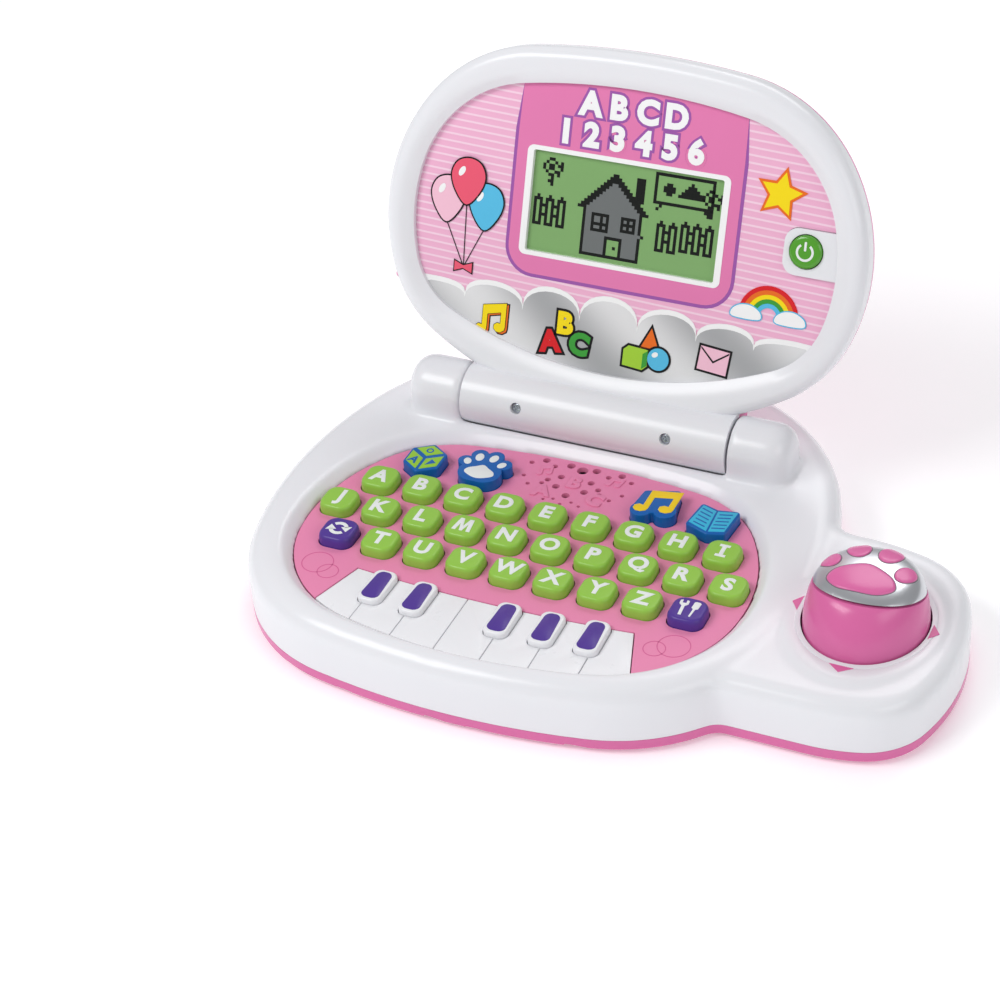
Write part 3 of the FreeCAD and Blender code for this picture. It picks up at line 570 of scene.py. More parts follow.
def star(x: float, y: float, outer: float, inner: float, tips: int = 5,
         turn: float = 0.0) -> list[Point]:
    """Points of a star.

    Args:
        x: Middle across.
        y: Middle along.
        outer: Radius of the tips.
        inner: Radius between the tips.
        tips: Number of tips.
        turn: Turn in degrees.

    Returns:
        The points, counter-clockwise.
    """
    points = []
    for i in range(2 * tips):
        a = math.radians(turn + 90) + math.pi * i / tips
        radius = inner if i % 2 else outer
        points.append((x + radius * math.cos(a), y + radius * math.sin(a)))
    return points


def arc_band(x: float, y: float, inner: float, outer: float, start: float, end: float,
             count: int = 14) -> list[Point]:
    """Part of a ring between two angles.

    Args:
        x: Middle across.
        y: Middle along.
        inner: Inner radius.
        outer: Outer radius.
        start: First angle in degrees.
        end: Last angle in degrees.
        count: Points along each side.

    Returns:
        The points, counter-clockwise.
    """
    angles = [math.radians(start + (end - start) * i / count) for i in range(count + 1)]
    far = [(x + outer * math.cos(a), y + outer * math.sin(a)) for a in angles]
    near = [(x + inner * math.cos(a), y + inner * math.sin(a)) for a in reversed(angles)]
    return far + near


def moved(points: Sequence[Point], x: float, y: float, turn: float = 0.0,
          scale: float = 1.0) -> list[Point]:
    """The outline turned about its own zero, scaled and moved.

    Args:
        points: Outline.
        x: Move across.
        y: Move along.
        turn: Turn in degrees.
        scale: Scale.

    Returns:
        The placed outline.
    """
    c, s = math.cos(math.radians(turn)) * scale, math.sin(math.radians(turn)) * scale
    return [(x + px * c - py * s, y + px * s + py * c) for px, py in points]


def inside(point: Point, outline: Sequence[Point]) -> bool:
    """True where the point is inside the outline."""
    x, y = point
    odd = False
    for (x0, y0), (x1, y1) in zip(outline, [*outline[1:], outline[0]]):
        if (y0 > y) != (y1 > y) and x < x0 + (y - y0) * (x1 - x0) / (y1 - y0):
            odd = not odd
    return odd


NOTE_PAIR: list[Point] = [
    (-5.6, 7.2), (-5.6, -3.0), (-7.4, -2.6), (-9.0, -3.9), (-9.0, -5.8), (-7.6, -7.2), (-5.4, -7.3),
    (-3.4, -6.0), (-3.0, -4.4), (-3.0, 3.0), (4.4, 4.8), (4.4, -1.0), (2.6, -0.8), (1.0, -2.0),
    (1.0, -3.9), (2.4, -5.3), (4.6, -5.4), (6.6, -4.1), (7.0, -2.5), (7.0, 9.8),
][::-1]
OWN_LETTERS: dict[str, list[Point]] = {
    "I": [(-2.3, -4.1), (2.3, -4.1), (2.3, -2.6), (0.9, -2.6), (0.9, 2.6), (2.3, 2.6), (2.3, 4.1),
          (-2.3, 4.1), (-2.3, 2.6), (-0.9, 2.6), (-0.9, -2.6), (-2.3, -2.6)],
    "M": [(-4.2, -4.1), (-2.4, -4.1), (-1.8, 0.7), (-0.65, -4.1), (0.65, -4.1), (1.8, 0.7), (2.4, -4.1),
          (4.2, -4.1), (3.1, 4.1), (1.3, 4.1), (0.0, -0.8), (-1.3, 4.1), (-3.1, 4.1)],
}


class Workshop:
    """Shapes pieces with Blender's own tools and sets each in the frame."""

    def __init__(self, frame: dict) -> None:
        """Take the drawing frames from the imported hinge.
        """
        self.nodes = frame["nodes"]
        joint = next(joint for joint in frame["joints"] if joint["name"] == "lid_hinge")
        hinge = Vector(joint["pos_m"])
        self.hinge = hinge
        scale = Matrix.Diagonal((MM, MM, MM, 1.0))
        rise = Matrix.Rotation(LID_RISE, 4, "X")
        self.places = {
            Sheet.BASE: Matrix.Translation((hinge.x, hinge.y, 0.0)) @ scale,
            Sheet.LID: Matrix.Translation(hinge) @ rise @ scale,
        }
        self.made = 0

    def plate(self, points: Sequence[Point], low: float, high: float, edge: float = 0.0,
              steps: int = 2) -> bpy.types.Object:
        """Flat piece on an outline, with its upper edge rounded.

        Args:
            points: Counter-clockwise outline.
            low: Height of its underside.
            high: Height of its top.
            edge: Rounding of the upper edge.
            steps: Segments of that rounding.

        Returns:
            The new mesh, in millimetres.
        """
        bpy.ops.object.select_all(action="DESELECT")
        bpy.ops.mesh.primitive_circle_add(vertices=len(points), radius=1.0, fill_type="NGON")
        piece = bpy.context.active_object
        for vertex, (x, y) in zip(piece.data.vertices, points):
            vertex.co = (x, y, low)
        with editing(piece):
            bpy.ops.mesh.select_all(action="SELECT")
            bpy.ops.mesh.normals_make_consistent(inside=False)
            bpy.ops.mesh.extrude_region_move(TRANSFORM_OT_translate={"value": (0, 0, high - low)})
            bpy.ops.mesh.select_all(action="SELECT")
            bpy.ops.mesh.normals_make_consistent(inside=False)
            if edge:
                pick_edges(piece, lambda a, b: min(a.z, b.z) > high - 1e-4)
                bpy.ops.mesh.bevel(offset=edge, segments=steps, affect="EDGES", clamp_overlap=True)
        return piece

    def loft(self, sections: Sequence[tuple[float, float, float, float, float]],
             count: int = 48) -> bpy.types.Object:
        """Closed form through level ellipses, extruded from one to the next.

        Args:
            sections: Height, half width, half depth, middle X and middle Y of each, upwards.
            count: Points round the form.

        Returns:
            The new mesh, in millimetres.
        """
        z, half_x, half_y, x, y = sections[0]
        bpy.ops.object.select_all(action="DESELECT")
        bpy.ops.mesh.primitive_circle_add(vertices=count, radius=1.0, fill_type="NGON",
                                          location=(0, 0, 0))
        piece = bpy.context.active_object
        piece.data.transform(Matrix.Translation((x, y, z)) @ Matrix.Diagonal((half_x, half_y, 1, 1)))
        with editing(piece):
            bpy.ops.mesh.select_all(action="SELECT")
            for low, high in zip(sections, sections[1:]):
                shift = (high[3] - low[3], high[4] - low[4], high[0] - low[0])
                bpy.ops.mesh.extrude_region_move(TRANSFORM_OT_translate={"value": shift})
                bpy.ops.transform.resize(value=(high[1] / low[1], high[2] / low[2], 1.0),
                                         center_override=(high[3], high[4], high[0]))
            bpy.ops.mesh.select_all(action="SELECT")
            bpy.ops.mesh.normals_make_consistent(inside=False)
        return piece

    def pillow(self, points: Sequence[Point], middle: Point,
               profile: Sequence[tuple[float, float]]) -> bpy.types.Object:
        """Form on an outline that draws in towards its top.

        Args:
            points: Counter-clockwise outline.
            middle: Point that it draws in to.
            profile: Height and width share of each step, upwards.

        Returns:
            The new mesh, in millimetres.
        """
        low = profile[0][0]
        bpy.ops.object.select_all(action="DESELECT")
        bpy.ops.mesh.primitive_circle_add(vertices=len(points), radius=1.0, fill_type="NGON")
        piece = bpy.context.active_object
        for vertex, (x, y) in zip(piece.data.vertices, points):
            vertex.co = (x, y, low)
        with editing(piece):
            bpy.ops.mesh.select_all(action="SELECT")
            for (z0, share0), (z1, share1) in zip(profile, profile[1:]):
                bpy.ops.mesh.extrude_region_move(TRANSFORM_OT_translate={"value": (0, 0, z1 - z0)})
                factor = share1 / share0
                bpy.ops.transform.resize(value=(factor, factor, 1.0), center_override=(*middle, z1))
            bpy.ops.mesh.select_all(action="SELECT")
            bpy.ops.mesh.normals_make_consistent(inside=False)
        return piece

    def lettering(self, text: str, size: float, x: float, y: float, low: float, high: float,
                  weight: float = 0.0, edge: float = 0.0, turn: float = 0.0) -> bpy.types.Object:
        """Single letters or figures as a flat mesh, about their middle.

        Args:
            text: What is drawn.
            size: Height of a capital letter.
            x: Middle across.
            y: Middle along.
            low: Height of its underside.
            high: Height of its top.
            weight: How much each stroke is widened on each side.
            edge: Rounding of its edges.
            turn: Turn in degrees.

        Returns:
            The new mesh, in millimetres.
        """
        bpy.ops.object.select_all(action="DESELECT")
        bpy.ops.object.text_add(location=(0, 0, 0))
        piece = bpy.context.active_object
        font = piece.data
        font.body = text
        font.size = size / 0.73
        font.align_x = "CENTER"
        font.align_y = "CENTER"
        font.resolution_u = 4
        font.offset = weight
        font.extrude = max((high - low) / 2 - edge, 0.01)
        font.bevel_depth = edge
        font.bevel_resolution = 1
        bpy.ops.object.convert(target="MESH")
        piece = bpy.context.active_object
        corners = [vertex.co for vertex in piece.data.vertices]
        centre = Vector(((min(c.x for c in corners) + max(c.x for c in corners)) / 2,
                         (min(c.y for c in corners) + max(c.y for c in corners)) / 2, 0))
        turned = Matrix.Rotation(math.radians(turn), 4, "Z")
        place = Matrix.Translation((x, y, (low + high) / 2)) @ turned @ Matrix.Translation(-centre)
        piece.data.transform(place)
        with editing(piece):
            bpy.ops.mesh.select_all(action="SELECT")
            bpy.ops.mesh.remove_doubles(threshold=1e-4)
            bpy.ops.mesh.normals_make_consistent(inside=False)
        return piece

    def squares(self, rows: Sequence[str], mark: str, x: float, y: float, pitch: float,
               low: float, high: float) -> bpy.types.Object:
        """Picture made of small squares: a grid with the empty squares deleted.

        Args:
            rows: Rows of the picture, the top one first.
            mark: Character that is filled.
            x: Left edge.
            y: Top edge.
            pitch: Size of a square.
            low: Height of its underside.
            high: Height of its top.

        Returns:
            The new mesh, in millimetres.
        """
        across, down = max(len(row) for row in rows), len(rows)
        bpy.ops.object.select_all(action="DESELECT")
        bpy.ops.mesh.primitive_grid_add(x_subdivisions=across, y_subdivisions=down, size=1.0)
        piece = bpy.context.active_object
        place = Matrix.Translation((x + across * pitch / 2, y - down * pitch / 2, low))
        piece.data.transform(place @ Matrix.Diagonal((across * pitch, down * pitch, 1.0, 1.0)))

        def is_empty(middle: Vector, _: Vector) -> bool:
            """True where the picture has nothing."""
            column, row = int((middle.x - x) / pitch), int((y - middle.y) / pitch)
            return column >= len(rows[row]) or rows[row][column] != mark

        with editing(piece):
            bpy.ops.mesh.select_mode(type="FACE")
            pick_faces(piece, is_empty)
            bpy.ops.mesh.delete(type="FACE")
            bpy.ops.mesh.select_all(action="SELECT")
            bpy.ops.mesh.extrude_region_move(TRANSFORM_OT_translate={"value": (0, 0, high - low)})
            bpy.ops.mesh.select_all(action="SELECT")
            bpy.ops.mesh.normals_make_consistent(inside=False)
        return piece

    def cut(self, piece: bpy.types.Object, *tools: bpy.types.Object) -> None:
        """Take shapes out of a piece, and remove the shapes.

        Args:
            piece: The mesh that is cut.
            *tools: The shapes that are taken out, one after another.
        """
        for tool in tools:
            modify(piece, "BOOLEAN", operation="DIFFERENCE", object=tool, solver="EXACT")
        self.discard(*tools)

    def screw_head(self, radius: float, profile: Sequence[tuple[float, float]], slot: Point,
                   slot_low: float) -> bpy.types.Object:
        """Screw head that faces up, with a cross recess, on the origin's axis.

        Args:
            radius: Radius of the head.
            profile: Height and width share of each step, upwards.
            slot: Length and width of each of the two slots.
            slot_low: Height of the slots' floor.

        Returns:
            The new mesh, in millimetres.
        """
        head = self.pillow(ring(0, 0, radius, radius, 24), (0.0, 0.0), profile)
        above = profile[-1][0] + 1.0
        bars = [self.plate(rounded_box(0, 0, *size, 0.2), slot_low, above)
                for size in (slot, slot[::-1])]
        self.cut(head, *bars)
        return head

    def copy_of(self, node: str, sheet: Sheet) -> bpy.types.Object:
        """Merged copy of a frame part, in a drawing frame.

        Args:
            node: Name of the frame part.
            sheet: Drawing frame to bring it to.

        Returns:
            The new mesh, in millimetres.
        """
        mesh = self.nodes[node].data.copy()
        mesh.materials.clear()
        piece = bpy.data.objects.new(node + "_copy", mesh)
        bpy.context.scene.collection.objects.link(piece)
        piece.data.transform(self.places[sheet].inverted())
        with editing(piece):
            bpy.ops.mesh.select_all(action="SELECT")
            bpy.ops.mesh.customdata_custom_splitnormals_clear()
            bpy.ops.mesh.remove_doubles(threshold=0.002)
        return piece

    def joined(self, pieces: Sequence[bpy.types.Object]) -> bpy.types.Object:
        """Several meshes made one.

        Args:
            pieces: The meshes; the first one takes the others in.

        Returns:
            The joined mesh.
        """
        bpy.ops.object.select_all(action="DESELECT")
        for piece in pieces:
            piece.select_set(True)
        bpy.context.view_layer.objects.active = pieces[0]
        if len(pieces) > 1:
            bpy.ops.object.join()
        return pieces[0]

    def repeat(self, pattern: bpy.types.Object, x: float, y: float, z: float = 0.0,
               turn: float = 0.0) -> bpy.types.Object:
        """Copy of a piece with its own mesh, moved to its place.

        Args:
            pattern: The piece that is copied.
            x: Move across.
            y: Move along.
            z: Move up.
            turn: Turn in degrees before the move.

        Returns:
            The copy.
        """
        copy = bpy.data.objects.new(pattern.name + "_copy", pattern.data.copy())
        bpy.context.scene.collection.objects.link(copy)
        copy.data.transform(Matrix.Translation((x, y, z)) @ Matrix.Rotation(math.radians(turn), 4, "Z"))
        return copy

    def discard(self, *patterns: bpy.types.Object) -> None:
        """Remove patterns that were only there to be copied."""
        for pattern in patterns:
            bpy.data.objects.remove(pattern, do_unlink=True)

    def place(self, piece: bpy.types.Object, name: str, body: str, finish: Plastic, slot: str,
              sheet: Sheet = Sheet.BASE, stands_for: Sequence[str] = (),
              angle: float = 35.0) -> bpy.types.Object:
        """Set a shaped piece in the frame and dress it.

        Args:
            piece: The mesh, in a drawing frame.
            name: Name of the piece.
            body: Frame body that it moves with.
            finish: Its finish.
            slot: The record's material slot; not used.
            sheet: Drawing frame that it is in.
            stands_for: Frame parts that it replaces.
            angle: Edges sharper than this many degrees stay sharp.

        Returns:
            The finished piece.
        """
        piece.name = name
        piece.data.name = name
        piece.data.transform(self.places[sheet])
        piece.data.materials.clear()
        piece.data.materials.append(finish.build())
        bpy.ops.object.select_all(action="DESELECT")
        piece.select_set(True)
        bpy.context.view_layer.objects.active = piece
        bpy.ops.object.shade_smooth_by_angle(angle=math.radians(angle))
        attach(piece, body)
        if stands_for:
            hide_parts(*stands_for)
        self.made += 1
        LOG.info("%s rides on %s", name, body)
        return piece


# ---------------------------------------------------------------------------------------------
# Setting
# ---------------------------------------------------------------------------------------------
@dataclass
class Studio:
    """Pale floor, soft lights and the camera."""

    spot: tuple[float, float, float] = (0.375844, -0.853349, 0.688684)
    azimuth_deg: float = 26.629
    elevation_deg: float = 36.507
    roll_deg: float = -4.175
    lens: float = 93.32
    floor_size: float = 6.0
    glow: float = 0.24

    def build(self, shop: Workshop) -> None:
        """Make the floor, the lights, the world and the camera.

        Args:
            shop: Workshop with the place of the hinge.
        """
        centre = Vector((shop.hinge.x, shop.hinge.y, 0.0))
        self.lay_floor()
        self.hang_lights(centre)
        self.set_camera(centre)

    def lay_floor(self) -> None:
        """Pale floor with a faint unevenness."""
        bpy.ops.object.select_all(action="DESELECT")
        bpy.ops.mesh.primitive_plane_add(size=self.floor_size, location=(0, 0, -0.0002))
        floor = bpy.context.active_object
        floor.name = "studio_floor"
        sheet = Plastic("studio_floor", (0.93, 0.93, 0.94), gloss=0.55, tint=0.01, wear=0.0, dust=0.0,
                        peel=0.0)
        shader = sheet.build().node_tree.nodes["Principled BSDF"]
        shader.inputs["Emission Color"].default_value = (1.0, 1.0, 1.0, 1.0)
        shader.inputs["Emission Strength"].default_value = self.glow
        floor.data.materials.append(sheet.build())

    def hang_lights(self, centre: Vector) -> None:
        """Soft lights round the object, and a pale world.

        Args:
            centre: Point on the floor that the lights stand round.
        """
        world = bpy.data.worlds.new("studio_world")
        bpy.context.scene.world = world
        world.use_nodes = True
        world.node_tree.nodes["Background"].inputs["Color"].default_value = (0.97, 0.98, 1.0, 1.0)
        world.node_tree.nodes["Background"].inputs["Strength"].default_value = 0.36
        lamps = (("key_lamp", (-0.75, -0.85, 1.25), 0.9, 13.0),
                 ("fill_lamp", (1.15, -0.55, 0.85), 0.9, 3.6),
                 ("back_lamp", (0.1, 1.1, 1.2), 1.0, 7.5))
        for name, offset, size, power in lamps:
            light = bpy.data.lights.new(name, "AREA")
            light.shape = "RECTANGLE"
            light.size = size
            light.size_y = size * 0.7
            light.energy = power
            lamp = bpy.data.objects.new(name, light)
            bpy.context.scene.collection.objects.link(lamp)
            lamp.location = centre + Vector(offset)
            lamp.rotation_euler = (-Vector(offset)).to_track_quat("-Z", "Y").to_euler()
        scene = bpy.context.scene
        scene.view_settings.view_transform = "Standard"
        scene.view_settings.look = "None"
        scene.view_settings.exposure = 0.0

    def set_camera(self, centre: Vector) -> None:
        """Camera at its place round the object.

        Args:
            centre: Point on the floor below the hinge.
        """
        a, e, roll = (math.radians(v) for v in (self.azimuth_deg, self.elevation_deg, self.roll_deg))
        back = Vector((math.sin(a) * math.cos(e), -math.cos(a) * math.cos(e), math.sin(e)))
        right = Vector((math.cos(a), math.sin(a), 0.0))
        up = back.cross(right)
        side = right * math.cos(roll) + up * math.sin(roll)
        top = up * math.cos(roll) - right * math.sin(roll)
        camera = bpy.data.objects.new("camera", bpy.data.cameras.new("camera"))
        bpy.context.scene.collection.objects.link(camera)
        camera.data.lens = self.lens
        camera.data.sensor_width = 36.0
        turned = Matrix((side, top, back)).transposed().to_4x4()
        camera.matrix_world = Matrix.Translation(centre + Vector(self.spot)) @ turned
        bpy.context.scene.camera = camera


# ---------------------------------------------------------------------------------------------
# Base
# ---------------------------------------------------------------------------------------------
@dataclass
class Casing:
    """White upper casing, pink tray, battery door and underside screws."""

    voxel: float = 1.45
    soften: int = 8
    part_line: float = 7.0
    part_gap: float = 0.15
    spare: float = 4.0
    barrel: tuple[float, float] = (14.1, 62.45)
    screw_spots: tuple[Point, ...] = ((-106, -40), (106, -40), (-101, -120), (101, -120), (0, 54.6),
                                      (150, -125))
    feet: tuple[Point, ...] = ((-92, -106), (92, -106), (-92, 10), (92, 10), (158, -108), (158, -52),
                               (-40, 49), (40, 49))
    recess: float = 5.0
    pad_gap: float = 0.15
    pad_high: float = 0.8
    well: Point = (-92.0, 57.0)

    def build(self, shop: Workshop) -> None:
        """Build every piece of the casing.

        Args:
            shop: Workshop that shapes and places the pieces.
        """
        self.upper(shop)
        tray = shop.copy_of("base_lower_casing", Sheet.BASE)
        for x, y in self.feet:
            shop.cut(tray, shop.plate(ring(x, y, self.recess, self.recess, 28), -1.0, self.pad_high))
        shop.place(tray, "base_lower_casing_moulded", "base", PINK, "casing_pink",
                   stands_for=["base_lower_casing"], angle=30)
        self.underside(shop)

    def upper(self, shop: Workshop) -> None:
        """White casing with every corner softened."""
        upper = shop.copy_of("base_upper_casing", Sheet.BASE)
        with editing(upper):
            pick_edges(upper, lambda a, b: max(a.z, b.z) < self.part_line + 0.01)
            bpy.ops.transform.translate(value=(0.0, 0.0, -self.spare))
        modify(upper, "REMESH", mode="VOXEL", voxel_size=self.voxel, adaptivity=0.0)
        modify(upper, "SMOOTH", factor=0.5, iterations=self.soften)
        self.trim(shop, upper)
        LOG.info("upper casing has %d faces", len(upper.data.polygons))
        shop.place(upper, "base_upper_casing_moulded", "base", WHITE, "casing_white",
                   stands_for=["base_upper_casing"], angle=60)

    def trim(self, shop: Workshop, upper: bpy.types.Object) -> None:
        """Cut a straight lower edge and room for the turning barrel.

        Args:
            shop: Workshop that knows the hinge's height.
            upper: The softened casing.
        """
        with editing(upper):
            bpy.ops.mesh.select_all(action="SELECT")
            bpy.ops.mesh.bisect(plane_co=(0.0, 0.0, self.part_line + self.part_gap),
                                plane_no=(0.0, 0.0, 1.0),
                                use_fill=True, clear_inner=True)
        bpy.ops.object.select_all(action="DESELECT")
        radius, half = self.barrel
        bpy.ops.mesh.primitive_cylinder_add(vertices=96, radius=radius, depth=2 * half,
                                            location=(0.0, 0.0, shop.hinge.z / MM),
                                            rotation=(0.0, math.pi / 2, 0.0))
        shop.cut(upper, bpy.context.active_object)

    def underside(self, shop: Workshop) -> None:
        """Rubber feet, screws and the ribs and screw of the battery door."""
        radius = self.recess - self.pad_gap
        foot = shop.pillow(ring(0, 0, radius, radius, 28), (0.0, 0.0),
                           [(0.02, 1.0), (self.pad_high, 1.0)])
        for number, (x, y) in enumerate(self.feet, 1):
            shop.place(shop.repeat(foot, x, y), f"foot_pad_{number}", "base", RUBBER, "inner_plastic")
        screw = self.cross_screw(shop, 2.9)
        for number, (x, y) in enumerate(self.screw_spots, 1):
            head = shop.repeat(screw, x, y, 3.2)
            shop.place(head, f"base_screw_{number}", "base", STEEL, "screw_steel")
        shop.discard(foot, screw)
        y, length = self.well
        for step in range(5):
            rib = shop.plate(rounded_box(0, y - 12 + 6 * step, 34, 1.6, 0.7), 0.75, 1.25)
            shop.place(rib, f"door_rib_{step + 1}", "base", PINK, "casing_pink")
        door_screw = self.cross_screw(shop, 2.4)
        door_screw.data.transform(Matrix.Translation((length / 2 - 5.0, y, 1.25)))
        shop.place(door_screw, "door_screw", "base", STEEL, "screw_steel")

    def cross_screw(self, shop: Workshop, radius: float) -> bpy.types.Object:
        """Screw head that faces down, with a cross recess, at the origin.

        Args:
            shop: Workshop that shapes the piece.
            radius: Radius of the head.

        Returns:
            The pattern.
        """
        profile = [(0.0, 1.0), (0.5, 1.0), (0.9, 0.85), (1.1, 0.6)]
        head = shop.screw_head(radius, profile, (radius * 1.1, radius * 0.24), 0.45)
        head.data.transform(Matrix.Rotation(math.pi, 4, "X"))
        return head


@dataclass
class Keyboard:
    """Pink panel, letter keys and the four picture keys."""

    pitch: Point = (19.7, 20.1)
    first_row_y: float = -60.1
    low: float = 22.3
    top: float = 31.2
    size: float = 15.5
    corner: float = 5.0
    print_high: float = 31.34

    def build(self, shop: Workshop) -> None:
        """Build the panel and every key.

        Args:
            shop: Workshop that shapes and places the pieces.
        """
        panel = shop.copy_of("keyboard_panel", Sheet.BASE)
        shop.place(panel, "keyboard_panel_moulded", "base", PANEL_PINK, "panel_pink",
                   stands_for=["keyboard_panel"], angle=30)
        self.panel_motifs(shop)
        self.letter_keys(shop)
        self.block_key(shop)
        self.paw_key(shop)
        self.note_key(shop)
        self.book_key(shop)

    def panel_motifs(self, shop: Workshop) -> None:
        """Raised letters and notes in the grille, and linked rings in the corners."""
        for letter, x, y, turn in (("A", -11.0, -41.0, 6.0), ("B", 0.4, -31.2, 0.0),
                                   ("C", 13.2, -40.0, -6.0)):
            mark = shop.lettering(letter, 7.6, x, y, 26.0, 26.8, weight=0.4, edge=0.2, turn=turn)
            shop.place(mark, f"grille_{letter.lower()}", "base", PANEL_PINK, "panel_pink")
        for number, (x, y, turn) in enumerate(((-15.0, -27.5, 12.0), (17.0, -26.0, -10.0)), 1):
            note = shop.plate(moved(NOTE_PAIR, x, y, turn, 0.42), 26.0, 26.7, 0.15)
            shop.place(note, f"grille_note_{number}", "base", PANEL_PINK, "panel_pink")
        circles = ((79.8, -118.8, 6.7), (73.0, -122.8, 4.5))
        for side in (-1, 1):
            for number, (x, y, radius) in enumerate(circles, 1):
                # Each ring is a thin darker band: painted shade of an engraved groove in the panel
                band = shop.plate(arc_band(side * x, y, radius - 0.2, radius + 0.2, 0, 359.9, 48), 26.1,
                                  26.26)
                name = "left" if side < 0 else "right"
                shop.place(band, f"panel_ring_{name}_{number}", "base", PANEL_RING_SHADE, "panel_pink")

    def cap_profile(self) -> list[tuple[float, float]]:
        """Height and width share of a square key's steps, upwards."""
        return [(self.low, 1.0), (26.6, 1.0), (28.6, 0.99), (29.8, 0.965), (30.45, 0.925),
                (30.82, 0.875),
                (31.0, 0.82), (31.04, 0.77), (31.05, 0.45), (31.06, 0.15)]

    def letter_keys(self, shop: Workshop) -> None:
        """Square keys with raised letters, from one pattern."""
        pattern = shop.pillow(rounded_box(0, 0, self.size, self.size, self.corner), (0.0, 0.0),
                              self.cap_profile())
        rows = (("ABCDEFGHI", 4.0), ("JKLMNOPQRS", 4.5), ("<TUVWXYZ>", 4.0))
        for row, (letters, middle) in enumerate(rows):
            for column, letter in enumerate(letters):
                x = (column - middle) * self.pitch[0]
                y = self.first_row_y - row * self.pitch[1]
                cap = shop.repeat(pattern, x, y)
                if letter in "<>":
                    node = "repeat_key" if letter == "<" else "tools_key"
                    shop.place(cap, node + "_cap", node, PURPLE, "key_purple", stands_for=[node])
                    signs = self.repeat_sign(x, y) if letter == "<" else self.tools_sign(x, y)
                    for number, outline in enumerate(signs, 1):
                        sign = shop.plate(outline, 30.9, self.top + 0.02, 0.06)
                        shop.place(sign, f"{node}_sign_{number}", node, KEY_WHITE, "screen_print")
                    continue
                node = "key_" + letter.lower()
                shop.place(cap, node + "_cap", node, LIME, "key_lime", stands_for=[node])
                if letter in OWN_LETTERS:
                    mark = shop.plate(moved(OWN_LETTERS[letter], x, y), 30.9, self.top, 0.06)
                else:
                    mark = shop.lettering(letter, 7.8, x, y, 30.9, self.top, weight=0.36, edge=0.07)
                shop.place(mark, node + "_letter", node, KEY_WHITE, "screen_print")
        shop.discard(pattern)

    def repeat_sign(self, x: float, y: float) -> list[list[Point]]:
        """Two curved arrows round the middle of a key."""
        signs = []
        for turn in (0, 180):
            signs.append(arc_band(x, y, 2.5, 4.2, turn + 20, turn + 140))
            tip = math.radians(turn + 20)
            at = (x + 3.3 * math.cos(tip), y + 3.3 * math.sin(tip))
            signs.append(moved([(-2.3, 0.1), (0.4, -2.9), (2.3, 0.8)], *at, turn + 10))
        return signs

    def tools_sign(self, x: float, y: float) -> list[list[Point]]:
        """A spanner and a screwdriver side by side."""
        spanner = [(-0.6, -4.2), (0.6, -4.2), (0.6, 0.9), (1.7, 2.0), (1.7, 3.9), (0.7, 4.3),
                   (0.7, 2.6),
                   (-0.7, 2.6), (-0.7, 4.3), (-1.7, 3.9), (-1.7, 2.0), (-0.6, 0.9)]
        driver = [(-0.35, -4.2), (0.35, -4.2), (0.45, 0.2), (1.3, 0.8), (1.3, 4.0), (0.7, 4.4),
                  (-0.7, 4.4),
                  (-1.3, 4.0), (-1.3, 0.8), (-0.45, 0.2)]
        return [moved(spanner, x - 2.4, y, 4, 1.12), moved(driver, x + 2.5, y, -4, 1.12)]

    def picture_cap(self, shop: Workshop, node: str) -> None:
        """Blue body of a picture key with its upper rim rounded.

        Args:
            shop: Workshop that shapes and places the pieces.
            node: Frame part that it stands for.
        """
        cap = shop.copy_of(node, Sheet.BASE)
        with editing(cap):
            bpy.ops.mesh.select_all(action="SELECT")
            bpy.ops.mesh.dissolve_limited(angle_limit=math.radians(1.0))
            pick_edges(cap, lambda a, b: min(a.z, b.z) > self.top - 0.01)
            bpy.ops.mesh.bevel(offset=0.8, segments=3, affect="EDGES", clamp_overlap=True)
        shop.place(cap, node + "_cap", node, BLUE, "key_blue", stands_for=[node], angle=40)

    def ink(self, shop: Workshop, node: str, name: str, outline: Sequence[Point], finish: Plastic,
            lift: float = 0.0, edge: float = 0.08) -> None:
        """One coloured shape printed on a picture key.

        Args:
            shop: Workshop that shapes and places the pieces.
            node: Key that it is on.
            name: What the shape is.
            outline: Its outline.
            finish: Its finish.
            lift: Height above the first layer.
            edge: Rounding of its rim.
        """
        shape = shop.plate(outline, self.top - 0.1, self.print_high + lift, edge)
        shop.place(shape, f"{node}_{name}", node, finish, "screen_print")

    def block_key(self, shop: Workshop) -> None:
        """Toy block: three green faces with a ring, a letter and a triangle."""
        node, x, y = "block_key", -66.0, -41.0
        self.picture_cap(shop, node)
        top = [(-6.4, 4.5), (0.0, 0.4), (6.4, 4.5), (0.0, 8.4)]
        left = [(-7.4, 2.6), (-7.4, -5.2), (-0.7, -9.6), (-0.7, -1.6)]
        right = [(0.7, -1.6), (0.7, -9.6), (7.4, -5.2), (7.4, 2.6)]
        for name, face in (("top", top), ("left", left), ("right", right)):
            self.ink(shop, node, name, moved(face, x, y), KEY_GREEN)
        self.ink(shop, node, "ring", arc_band(x, y + 4.4, 1.0, 1.7, 0, 359.9, 20), BLUE, 0.1)
        letter = shop.lettering("A", 4.6, x - 4.1, y - 3.6, self.top, self.print_high + 0.1,
                                weight=0.18, edge=0.03,
                                turn=-18)
        shop.place(letter, node + "_letter", node, BLUE, "screen_print")
        self.ink(shop, node, "triangle", moved([(-2.0, -2.4), (2.2, 0.4), (-0.4, 2.4)], x + 4.0,
                                               y - 3.6), BLUE, 0.1)

